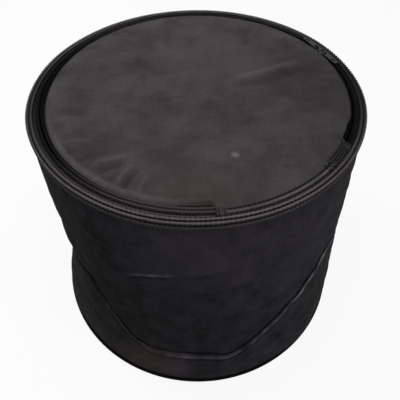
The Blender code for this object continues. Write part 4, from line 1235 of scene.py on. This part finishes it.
fine_points = np.empty(len(fine_mesh.vertices) * 3, np.float32)
fine_mesh.vertices.foreach_get("co", fine_points)
fine_points = fine_points.reshape(-1, 3).astype(float)
sideways = fine_points[:, :2] - np.array(lid_middle)
out_azimuths = azimuth_of(sideways)
fine_edge, fine_share = lid_edge(out_azimuths)
inner_share = np.clip(np.hypot(sideways[:, 0], sideways[:, 1]) / fine_edge, 0, 1)
in_from_edge = (1 - inner_share) * fine_edge
above_underside = fine_points[:, 2] - lid_underside
above_seam = ease((above_underside - seam_to_side[0]) / seam_to_side[1])
on_top = ease((above_underside - side_to_top[0]) / side_to_top[1])
free = ease(in_from_edge / free_width) * on_top
lift = np.zeros(len(fine_points))
lid_wear_and_painted_light = np.zeros(len(fine_points))
for start, end, half_width, height, painted_ridge_light in lid_folds:
    line = np.array(end) - np.array(start)
    along = np.clip((fine_points[:, :2] - np.array(start)) @ line / (line @ line), 0, 1)
    apart = np.linalg.norm(fine_points[:, :2] - (np.array(start) + along[:, None] * line), axis=1)
    taper = ease(np.minimum(along, 1 - along) * fold_end_taper + fold_end_share)
    lift += height * taper * bell(apart, half_width)
    # Painted highlight along ridges, painted shade along creases
    lid_wear_and_painted_light += painted_ridge_light * taper * bell(apart, fold_light_share * half_width) * free
for height, size, offset in lid_unevenness:
    lift += height * fold_noise(fine_points * np.array([1, 1, 0]), size, offset)
turn = np.radians(out_azimuths)
pucker_places = np.stack([np.sin(turn), np.cos(turn), inner_share * pucker_reach], axis=-1)
pucker = fold_noise(pucker_places, pucker_size, pucker_offset)
lift += pucker_height * pucker * ease((inner_share - pucker_from) / pucker_blur) * (1 - fine_share)
sag = -lid_sag * (1 - inner_share**2) ** sag_power * on_top
fine_points[:, 2] += lift * free + sag * (1 - ease((hinge_flat * 2 - in_from_edge) / hinge_flat))
# The front edge drawn lighter, as wear and painted highlight
front_share = ease((out_azimuths - front_highlight_azimuths[0]) / front_highlight_blurs[0])
front_share *= ease((front_highlight_azimuths[1] - out_azimuths) / front_highlight_blurs[1])
lid_wear_and_painted_light += front_wear_and_highlight * front_share * ease((front_highlight_width - in_from_edge) / front_highlight_blur) * above_seam
seam_inward, seam_width, seam_depth = edge_seam
seam_share = edge_seam_share + (1 - edge_seam_share) * fine_share
fine_points[:, 2] -= seam_depth * bell(in_from_edge - seam_inward, seam_width) * seam_share * on_top
layer = fine_mesh.uv_layers.new(name="metres")
corner_vertices = np.empty(len(fine_mesh.loops), np.int32)
fine_mesh.loops.foreach_get("vertex_index", corner_vertices)
layer.data.foreach_set("uv", fine_points[corner_vertices][:, :2].astype(np.float32).ravel())
fine_mesh.shade_smooth()
from_ring = fine_points[:, :2] - np.array([0.0, ring_back])
ring_distance = np.hypot(from_ring[:, 0], from_ring[:, 1])
ring_azimuth = azimuth_of(from_ring)
past_first = ease((ring_azimuth - hinge_first + hinge_seam_blur / 2) / hinge_seam_blur)
before_last = ease((hinge_last + hinge_seam_blur / 2 - ring_azimuth) / hinge_seam_blur)
in_hinge = past_first * before_last * above_seam
near_end = ease((ring_azimuth - near_zip_end) / hinge_seam_blur) * in_hinge
# Painted shade along the hinge's seams, and the cloth between the two rows drawn lighter
seams = np.zeros(len(fine_points))
for seam_radius in hinge_row_radii:
    seams -= bell(ring_distance - seam_radius, hinge_seam_width) * in_hinge
seams -= bell(ring_distance - near_seam_radius, near_seam_width) * near_end
seams -= bell(ring_distance - inner_seam_radius, inner_seam_width) * near_end
fine_points[:, 2] += hinge_seam_depth * np.maximum(seams, -1)
lighter_radius, lighter_width, lighter_share = lighter_between
seams += lighter_share * in_hinge * bell(ring_distance - lighter_radius, lighter_width) * (1 - near_end)
fine_mesh.vertices.foreach_set("co", fine_points.astype(np.float32).ravel())
seam_layer = fine_mesh.attributes.new("worn", "FLOAT", "POINT")
seam_layer.data.foreach_set("value", np.clip(seams + lid_wear_and_painted_light, -1, 1).astype(np.float32))
# Two pale specks, brownish dust at the front, painted shade darkening the right, and painted light paling the
# back
lid_specks_and_painted_light = [
    ((0.044, -0.092, 0.3410), 0.0064, "#8f8a8c", 1.3),
    ((0.062, -0.148, 0.3400), 0.0030, "#8a8588", 1.0),
    ((0.175, 0.050, 0.3385), 0.1300, "#1c1a1b", 0.45),
    ((0.000, -0.150, 0.3385), 0.0900, "#4d4340", 0.35),
    ((0.010, 0.110, 0.3385), 0.1000, "#565457", 0.30),
]
# A paler copy of the wall's cloth: partly grey with dust, partly painted light
lid_cloth = woven_cloth(
    "greyed_polyester_lid", "#343133", "#524f50", 0.9, patch=0.05, patch_share=1.0, marks=lid_specks_and_painted_light,
    worn_and_lit_colour="#8a8586",
)
lid_piece = add_piece("lid_padded_cloth", fine_mesh, lid_cloth, None, [
    "lid_outer_fabric", "lid_foam", "hinge_outer_fabric", "hinge_foam",
])
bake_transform(lid_piece)

# The stitches of the hinge's seam, which run through the lid's cloth, follow its surface.
fine_mesh.update()
lid_surface = BVHTree.FromPolygons(
    [vertex.co.copy() for vertex in fine_mesh.vertices], [tuple(face.vertices) for face in fine_mesh.polygons]
)

tack_first = near_zip_end - 2.5
tack_last = near_zip_end + 0.2
tack_radii = np.linspace(0.1995, 0.2104, 12)
tack_stitch_length = 0.0020
tack_pitch = 0.0024
tack_unevenness = 0.1
hinge_rows_end_gap = 1.0
above_bag = 0.4


def on_lid(points, above):
    """The same points moved up or down to a height above the lid's cloth."""
    found = []
    for point in points:
        hit = lid_surface.ray_cast(Vector((point[0], point[1], above_bag)), Vector((0, 0, -1)))[0]
        height = max(hit.z, hinge_edge_height) if hit else hinge_edge_height
        found.append((point[0], point[1], height + above))
    return np.array(found)


hinge_row_azimuths = np.linspace(hinge_first, hinge_last - hinge_rows_end_gap, 300)
hinge_rows = []
for radius in hinge_row_radii:
    hinge_line = ring_points([(radius, hinge_edge_height)], hinge_row_azimuths)[0]
    hinge_rows.append(on_lid(hinge_line, thread_lift))
# A bar tack crosses the seams where the strain of the open lid comes on them
tack_rows = []
for first_azimuth, last_azimuth in (
    (tack_first, tack_first), (tack_last, tack_last), (tack_first, tack_last), (tack_last, tack_first),
):
    tack_azimuths = np.linspace(first_azimuth, last_azimuth, tack_radii.size)
    tack_line = [
        ring_points([(radius, hinge_edge_height)], [azimuth])[0, 0]
        for radius, azimuth in zip(tack_radii, tack_azimuths)
    ]
    tack_rows.append(on_lid(tack_line, thread_lift))
add_stitches(
    "hinge_bar_tack", tack_rows, "bag", tack_stitch_length, pitch=tack_pitch,
    unevenness=tack_unevenness, seed=14,
)
add_stitches("hinge_stitches", hinge_rows, "bag", seed=4)

# A short length of the binding tape is folded over each end of the zip and sewn across.
tab_inner_radius = 0.2026
tab_outer_radius = 0.2106
tab_arc = 3.0
tab_thickness = 0.0009
tab_under = 0.00015
tab_edge_share = 0.75
tab_crown_share = 0.4
tab_rows = 9
tab_columns = 14
tab_stitched_columns = (3, 10)
tab_stitch_length = 0.0020
tab_pitch = 0.0026
tab_unevenness = 0.06
tab_crown = np.sin(np.linspace(0, math.pi, tab_rows))[:, None]
tab_crown = tab_crown * np.sin(np.linspace(0, math.pi, tab_columns))[None, :]
tab_height = tab_thickness * (tab_edge_share + tab_crown_share * tab_crown**0.5)
for tab_side, tab_first in (("left", hinge_first), ("right", hinge_last - tab_arc)):
    tab_azimuths = np.linspace(tab_first, tab_first + tab_arc, tab_columns)
    tab_grid = np.array([
        on_lid(ring_points([(radius, hinge_edge_height)], tab_azimuths)[0], 0.0)
        for radius in np.linspace(tab_inner_radius, tab_outer_radius, tab_rows)
    ])
    upper = tab_grid.copy()
    upper[..., 2] += tab_height
    lower = tab_grid[::-1] + (0, 0, tab_under)
    tab_name = "zip_end_tab_" + tab_side
    add_swept(
        tab_name + "_tape", np.concatenate([upper, lower]), binding_tape, "bag", [tab_name],
        closed_round=False,
    )
    tab_seams = [upper[1:-1, column] + (0, 0, thread_lift) for column in tab_stitched_columns]
    add_stitches(
        tab_name + "_stitches", tab_seams, "bag", tab_stitch_length, pitch=tab_pitch,
        unevenness=tab_unevenness, seed=6,
    )


# Inside, the lid and hinge are lined with one sheet of thin black nylon, which bends with the hinge.
# A tape is sewn over the seam that holds the lining to the lid's half of the zip.
lid_lining_high = 0.3317
lid_lining_low = 0.3312
lining_edge_inset = 0.0012
lid_binding_width = 0.0060
lid_binding_high = 0.3309
lid_binding_low = 0.3300
lid_binding_outer = 0.1917
chord_half_angle = 24.5
hinge_middle_azimuth = 33.0
lid_binding_chamfer = (0.0004, 0.0002)
lid_stitch_inset = 0.0011
ripple_height = 0.0006
ripple_size = 0.05
ripple_offset = 21.0
ripple_free_share = 0.1

# Thin coated nylon: smooth and even, darker than the outer cloth, with small soft ripples.
lining_cloth = woven_cloth("coated_nylon_lining", "#19191b", "#29292c", 0.75, patch=0.09, relief=0.0001)


def disc_mesh(name, top, under, rows, middle=lid_middle):
    """A closed pad between two grids of points, with its UV map laid flat."""
    points, faces = padded_disc(top.reshape(-1, 3), under.reshape(-1, 3), rows, middle)
    return pieces_mesh(name, points, faces, points[np.concatenate([np.array(face) for face in faces]), :2])


lining_flat = np.array(lid_middle) + way * (ring_shares * (edge_radius - lining_edge_inset))[..., None]
lining_ripple = ripple_height * fold_noise(raised(lining_flat, 0), ripple_size, ripple_offset)
lining_ripple = lining_ripple * ease((1 - ring_shares) / ripple_free_share)
lining_top = raised(lining_flat, lid_lining_high - np.abs(lining_ripple))
lining_under = lining_top - np.array([0, 0, lid_lining_high - lid_lining_low])
rough_mesh = disc_mesh("lid_lining_cloth", lining_top, lining_under, 1)
rough_lining = bpy.data.objects.new("lid_lining_cloth", rough_mesh)
bpy.context.scene.collection.objects.link(rough_lining)
lid_lining = add_piece(
    "lid_lining_cloth", finer_mesh(rough_lining, "SIMPLE"), lining_cloth, None,
    ["lid_lining", "hinge_lining"],
)
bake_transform(lid_lining)
lid_binding_azimuths = np.linspace(
    hinge_middle_azimuth + chord_half_angle, hinge_middle_azimuth + 360 - chord_half_angle, 420
)
lid_binding_inner = lid_binding_outer - lid_binding_width
lid_binding_profile = [
    (lid_binding_inner, lid_binding_high),
    (lid_binding_outer, lid_binding_high),
    (lid_binding_outer, lid_binding_low + lid_binding_chamfer[1]),
    (lid_binding_outer - lid_binding_chamfer[0], lid_binding_low),
    (lid_binding_inner + lid_binding_chamfer[0], lid_binding_low),
    (lid_binding_inner, lid_binding_low + lid_binding_chamfer[1]),
]
add_swept(
    "lid_seam_binding_tape", ring_points(lid_binding_profile, lid_binding_azimuths, 0.0, lid_middle),
    binding_tape, "lid", ["lid_seam_binding"], closed_round=False,
)
lid_seam_rows = [
    ring_points([(radius, lid_binding_low - thread_lift)], lid_binding_azimuths, 0.0, lid_middle)[0]
    for radius in (lid_binding_inner + lid_stitch_inset, lid_binding_outer - lid_stitch_inset)
]
add_stitches("lid_seam_stitches", lid_seam_rows, "lid", seed=7)


# The wall's lining is the same nylon, stretched over the foam, so it shows the wall's slump inside.
# Tapes cover its upright seam at the back and the seams at the rim and the base.
lining_gap = 0.0003
lining_thickness = 0.0005
wall_lining_outer = inner_inward + wall_padding + lining_gap
wall_lining_inner = wall_lining_outer + lining_thickness
wall_lining_points = np.concatenate([
    wall_point(signed_azimuths[None, :], inner_heights[::-1], wall_lining_outer[::-1]),
    wall_point(signed_azimuths[None, :], inner_heights, wall_lining_inner),
])
wall_lining = add_swept(
    "wall_lining_cloth", wall_lining_points, lining_cloth, "bag", ["wall_lining"]
)

tape_thickness = 0.0008
tape_edge_thickness = 0.0006
tape_edge_height = 0.0005
tape_stand_off = 0.0001
seam_low = 0.022
seam_high = 0.314
seam_azimuths = (150.0, 156.0)
seam_rows = 60
seam_edge_arc = 0.3
seam_edge_depth = 0.0007
seam_depth = 0.0009
seam_stitch_arc = 0.8
seam_stitch_depth = 0.0010


def depth_at(azimuths, heights, known_heights, known_depths):
    """How far inside the upright wall a surface lies, for points in pairs, from its rows of depths."""
    found = []
    for azimuth, height in zip(azimuths, heights):
        column = np.argmin(np.abs((signed_azimuths - azimuth + 180) % 360 - 180))
        found.append(np.interp(height, known_heights[:, column], known_depths[:, column]))
    return np.array(found)


def lining_depth(azimuths, heights):
    """How far inside the upright wall the lining's inner face lies."""
    return depth_at(azimuths, heights, inner_heights[::-1], wall_lining_inner[::-1])


def on_lining(azimuths, heights, inside):
    """Points at a distance inside the wall's lining."""
    azimuths, heights = np.broadcast_arrays(np.asarray(azimuths, float), np.asarray(heights, float))
    return wall_point(azimuths, heights, lining_depth(azimuths, heights) + inside)


seam_heights = np.linspace(seam_low, seam_high, seam_rows)
seam_first, seam_last = seam_azimuths
seam_section = np.array([
    on_lining(azimuth, seam_heights, inside)
    for azimuth, inside in (
        (seam_first, tape_stand_off), (seam_first, seam_edge_depth), (seam_first + seam_edge_arc, seam_depth),
        (seam_last - seam_edge_arc, seam_depth), (seam_last, seam_edge_depth), (seam_last, tape_stand_off),
    )
])
add_swept(
    "wall_seam_binding_tape", seam_section, binding_tape, "bag", ["wall_seam_binding"],
    closed_round=False,
)
seam_lines = [
    on_lining(azimuth, seam_heights, seam_stitch_depth)
    for azimuth in (seam_first + seam_stitch_arc, seam_last - seam_stitch_arc)
]
add_stitches("wall_seam_stitches", seam_lines, "bag", seed=8)


def level_tape(name, low, high, node):
    """A tape that runs round inside the wall's lining between two heights, with a row of stitches."""
    section = np.array([
        on_lining(signed_azimuths, height, inside)
        for height, inside in (
            (low, tape_stand_off), (low, tape_edge_thickness), (low + tape_edge_height, tape_thickness),
            (high - tape_edge_height, tape_thickness), (high, tape_edge_thickness), (high, tape_stand_off),
        )
    ])
    add_swept(name, section, binding_tape, "bag", [node])
    row = on_lining(signed_azimuths, (low + high) / 2, tape_thickness + thread_lift)
    add_stitches(name + "_stitches", [row], "bag", seed=9, closed=True)


level_tape("rim_inner_binding_tape", 0.3190, 0.3290, "rim_inner_binding")
level_tape("base_seam_binding_tape", 0.0096, 0.0176, "base_seam_binding")


# The base is a disc of the outer polyester, with piping round its edge where it is sewn to the wall.
# Inside it lies the base's foam under its own lining, which keeps the bag's bottom round.
base_cloth_high = 0.0010
base_cloth_radius = 0.2214
base_pad_low = 0.0013
base_pad_high = 0.0086
base_pad_clearance = 0.0006
base_piping_radius = 0.0026
base_piping_middle = 0.2238
base_piping_height = 0.0029
quilt_height = 0.0004
quilt_size = 0.06
quilt_offset = 31.0
base_edge_drop = 0.0016
base_edge_share = 0.05
base_pad_heights = (0.009, 0.003)

base_flat = np.array(base_shift) + way * (ring_shares * base_cloth_radius)[..., None]
base_mesh = disc_mesh(
    "base_outer_cloth", raised(base_flat, base_cloth_high), raised(base_flat, 0), 1, (0, 0)
)
base_sheet = add_piece(
    "base_outer_cloth", base_mesh, wall_cloth, "bag", ["base_outer_fabric"]
)

pad_azimuths = ring_azimuths.reshape(-1)
pad_depths = [lining_depth(pad_azimuths, np.full(pad_azimuths.size, height)) for height in base_pad_heights]
pad_depth = np.max(pad_depths, axis=0).reshape(ring_azimuths.shape)
pad_radius = wall_radius(np.array(base_pad_low)) - pad_depth - base_pad_clearance
pad_flat = np.array(base_shift) + way * (ring_shares * pad_radius)[..., None]
pad_quilt = quilt_height * fold_noise(raised(pad_flat, 0), quilt_size, quilt_offset)
pad_edge_drop = base_edge_drop * ease(1 - (1 - ring_shares) / base_edge_share)
pad_top = raised(pad_flat, base_pad_high - np.abs(pad_quilt) - pad_edge_drop)
base_pad_mesh = disc_mesh("base_padded_lining", pad_top, raised(pad_flat, base_pad_low), 2, (0, 0))
base_pad = add_piece(
    "base_padded_lining", base_pad_mesh, lining_cloth, "bag", ["base_foam", "base_lining"]
)

# The cord at the base is covered in the same cloth, drawn black: painted shade under the wall, and
# little dust reaches it.
shaded_base_piping_cloth = woven_cloth("black_polyester_piping", "#060606", "#101011", 0.85, patch=0.03)
base_piping_section = round_section(base_piping_radius, base_piping_middle, base_piping_height)
add_swept(
    "base_piping_cord", ring_points(base_piping_section, full_round, centre=base_shift), shaded_base_piping_cloth,
    "bag", ["base_piping"],
)


# Two zip sliders of die-cast zinc in black enamel meet on the right, each with its flat pull.
# The enamel has rubbed through to grey metal along the edges, where fingers and cloth touch it.
def black_enamel():
    """Black enamel over zinc: a smooth, fairly glossy film, bared by use to dull metal in spots on the edges.
    """
    material, tree, shader, place = new_surface("black_enamelled_zinc")
    shape = add_node(tree, "ShaderNodeNewGeometry")
    rubs = add_node(tree, "ShaderNodeTexNoise", {"Vector": place, "Scale": 700.0, "Detail": 4.0})
    edge_inputs = {"Value": shape.outputs["Pointiness"], "From Min": 0.53, "From Max": 0.62}
    edges = add_node(tree, "ShaderNodeMapRange", edge_inputs)
    bare = add_node(tree, "ShaderNodeMath", {0: edges, 1: rubs}, operation="MULTIPLY")
    colours = {"Factor": bare, "A": linear("#0e0e0f"), "B": linear("#4a4b4d")}
    fill_inputs(tree, shader, {
        "Base Color": add_node(tree, "ShaderNodeMix", colours, data_type="RGBA").outputs["Result"],
        "Metallic": bare,
        "Roughness": add_node(tree, "ShaderNodeMapRange", {"Value": rubs, "To Min": 0.28, "To Max": 0.5}),
        "Normal": add_node(tree, "ShaderNodeBump", {"Height": rubs, "Distance": 0.00006}),
        "IOR": 1.5,
        "Specular IOR Level": 0.2,
    })
    return material


enamel = black_enamel()
for node_name in ("slider_left", "slider_right", "pull_left", "pull_right"):
    for material_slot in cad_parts[node_name].material_slots:
        material_slot.material = enamel


# The carrying handle hangs on the back wall. Each end of its webbing is sewn with a boxed cross to a
# patch of binding cloth. Towards the middle the webbing is folded in two inside a rubber sleeve.
patch_low = 0.1670
patch_high = 0.2230
patch_arcs = {"left": (204.0, 216.0), "right": (144.0, 156.0)}
patch_stand_off = 0.0003
patch_thickness = 0.0008
webbing_middle = 0.1950
webbing_half_width = 0.0190
webbing_thickness = 0.0020
webbing_seat = 0.0024
sewn_arc = 9.0
handle_axis = np.array([0.0, 0.248014, 0.195])
handle_half_span = 0.0680
handle_reach = 0.0340
handle_arc_power = 0.6
handle_droop = 79.0
fold_half_height = 0.0093
fold_half_thickness = 0.0020
fold_end = 0.0560
strap_steps = 110
strap_softenings = 6
seam_half_arc = 24.0
fold_margin = 0.004
boxed_cross_inset = 0.0035
box_first_arc = 1.2
box_last_arc = 1.0
patch_stitch_arc = 0.8
patch_stitch_inset = 0.003
patch_columns = 28
patch_rows = 20

# Woven polypropylene webbing: its yarn shines a little more than the polyester's, in a deeper weave.
webbing_cloth = woven_cloth("polypropylene_webbing", "#151517", "#2f2f32", 0.7, patch=0.03, relief=0.0005)


def proud_of_wall(azimuths, heights, stand_off):
    """Points at a distance outside the wall's cloth."""
    azimuths, heights = np.broadcast_arrays(np.asarray(azimuths, float), np.asarray(heights, float))
    depth = depth_at(azimuths, heights, outer_heights, outer_inward)
    return wall_point(azimuths, heights, depth - stand_off)


for side_name, (patch_first, patch_last) in patch_arcs.items():
    patch_azimuths = np.linspace(patch_first, patch_last, patch_columns)
    patch_heights = np.linspace(patch_low, patch_high, patch_rows)
    patch_outside = [
        proud_of_wall(patch_azimuths, height, patch_stand_off + patch_thickness) for height in patch_heights
    ]
    patch_inside = [proud_of_wall(patch_azimuths, height, patch_stand_off) for height in patch_heights[::-1]]
    add_swept(
        "handle_patch_" + side_name + "_cloth", np.array(patch_outside + patch_inside), binding_tape, "bag",
        ["handle_patch_" + side_name], closed_round=False,
    )

strap_axis_turn = math.radians(-handle_droop)
turned_out = np.array([0.0, math.cos(strap_axis_turn), math.sin(strap_axis_turn)])


def strap_centre(share, side, seam_azimuth):
    """The strap's middle line: over the patch, off the wall and along the hanging handle to its middle."""
    patch_share = 0.28
    free_share = 0.50
    if share < patch_share:
        azimuth = seam_azimuth - side * sewn_arc * (1 - share / patch_share)
        return proud_of_wall([azimuth], [webbing_middle], webbing_seat)[0]
    junction = handle_axis + np.array([side * handle_half_span, 0, 0])
    if share < free_share:
        start = proud_of_wall([seam_azimuth], [webbing_middle], webbing_seat)[0]
        gone = (share - patch_share) / (free_share - patch_share)
        step = (junction - start) * np.array([gone, ease(gone), gone])
        return start + step
    place = side * handle_half_span * (1 - (share - free_share) / (1 - free_share))
    arc = handle_reach * math.cos(math.pi / 2 * min(abs(place) / handle_half_span, 1)) ** handle_arc_power
    return handle_axis + np.array([place, 0, 0]) + turned_out * arc


strap_section = [
    (-1, -0.6), (-0.96, -1), (-0.5, -1), (0, -1), (0.5, -1), (0.96, -1), (1, -0.6),
    (1, 0.6), (0.96, 1), (0.5, 1), (0, 1), (-0.5, 1), (-0.96, 1), (-1, 0.6),
]
for side_name, side in (("left", -1), ("right", 1)):
    seam_azimuth = 180 - side * seam_half_arc
    line = np.array([strap_centre(share, side, seam_azimuth) for share in np.linspace(0, 1, strap_steps)])
    for _ in range(strap_softenings):
        line[1:-1] = (line[:-2] + 2 * line[1:-1] + line[2:]) / 4
    fold_start = handle_half_span + fold_margin
    folded = ease((fold_start - np.abs(line[:, 0])) / (fold_start - fold_end))
    half_width = webbing_half_width + (fold_half_height - webbing_half_width) * folded
    half_thick = webbing_thickness / 2 + (fold_half_thickness - webbing_thickness / 2) * folded
    twist = strap_axis_turn * folded
    forward = np.gradient(line, axis=0)
    forward /= np.linalg.norm(forward, axis=1)[:, None]
    upright = np.stack([0 * twist, -np.sin(twist), np.cos(twist)], axis=-1)
    upright -= forward * np.einsum("ij,ij->i", upright, forward)[:, None]
    upright /= np.linalg.norm(upright, axis=1)[:, None]
    outward = np.cross(forward, upright)
    rows = [
        line + upright * (across * half_width)[:, None] + outward * (deep * half_thick)[:, None]
        for across, deep in strap_section
    ]
    replaced = ["handle_webbing_" + side_name]
    if side_name == "left":
        replaced.append("handle_folded_webbing")
    strap = add_swept(
        "handle_webbing_" + side_name + "_strap", np.array(rows), webbing_cloth, None, replaced,
        closed_round=False,
    )
    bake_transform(strap)
    box_azimuths = (seam_azimuth - side * box_first_arc, seam_azimuth - side * (sewn_arc - box_last_arc))
    box_heights = (
        webbing_middle - webbing_half_width + boxed_cross_inset,
        webbing_middle + webbing_half_width - boxed_cross_inset,
    )
    corners = [
        (box_azimuths[0], box_heights[0]), (box_azimuths[1], box_heights[0]),
        (box_azimuths[1], box_heights[1]), (box_azimuths[0], box_heights[1]),
    ]
    box_lines = []
    shares = np.linspace(0, 1, 16)
    for first, second in ((0, 1), (1, 2), (2, 3), (3, 0), (0, 2), (1, 3)):
        (start_azimuth, start_height), (end_azimuth, end_height) = corners[first], corners[second]
        box_lines.append(
            proud_of_wall(
                start_azimuth + (end_azimuth - start_azimuth) * shares,
                start_height + (end_height - start_height) * shares,
                webbing_seat + webbing_thickness / 2 + thread_lift,
            )
        )
    on_patch = patch_stand_off + patch_thickness + thread_lift
    patch_first, patch_last = patch_arcs[side_name]
    patch_row = np.linspace(patch_first + patch_stitch_arc, patch_last - patch_stitch_arc, 24)
    patch_column = np.linspace(patch_low + patch_stitch_inset, patch_high - patch_stitch_inset, 24)
    for height in (patch_low + patch_stitch_inset, patch_high - patch_stitch_inset):
        box_lines.append(proud_of_wall(patch_row, height, on_patch))
    outer_edge = patch_row[-1] if side_name == "left" else patch_row[0]
    box_lines.append(proud_of_wall(outer_edge, patch_column, on_patch))
    add_stitches("handle_stitches_" + side_name, box_lines, "bag", seed=10)


# Moulded soft rubber: matt black, with fine grooves round the grip that hands have polished a little.
grip_rubber, grip_tree, grip_shader, grip_place = new_surface("moulded_soft_rubber")
groove_inputs = {"Vector": grip_place, "Scale": 70.0, "Distortion": 0.0}
grip_grooves = add_node(grip_tree, "ShaderNodeTexWave", groove_inputs).outputs["Fac"]
grip_wear = add_node(grip_tree, "ShaderNodeTexNoise", {"Vector": grip_place, "Scale": 45.0, "Detail": 4.0})
grip_colours = {"Factor": grip_wear, "A": linear("#141415"), "B": linear("#232324")}
gloss_inputs = {"Value": grip_wear, "To Min": 0.45, "To Max": 0.75}
fill_inputs(grip_tree, grip_shader, {
    "Base Color": add_node(grip_tree, "ShaderNodeMix", grip_colours, data_type="RGBA").outputs["Result"],
    "Roughness": add_node(grip_tree, "ShaderNodeMapRange", gloss_inputs),
    "Normal": add_node(grip_tree, "ShaderNodeBump", {"Height": grip_grooves, "Distance": 0.0006}),
})
for material_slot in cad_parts["handle_grip"].material_slots:
    material_slot.material = grip_rubber
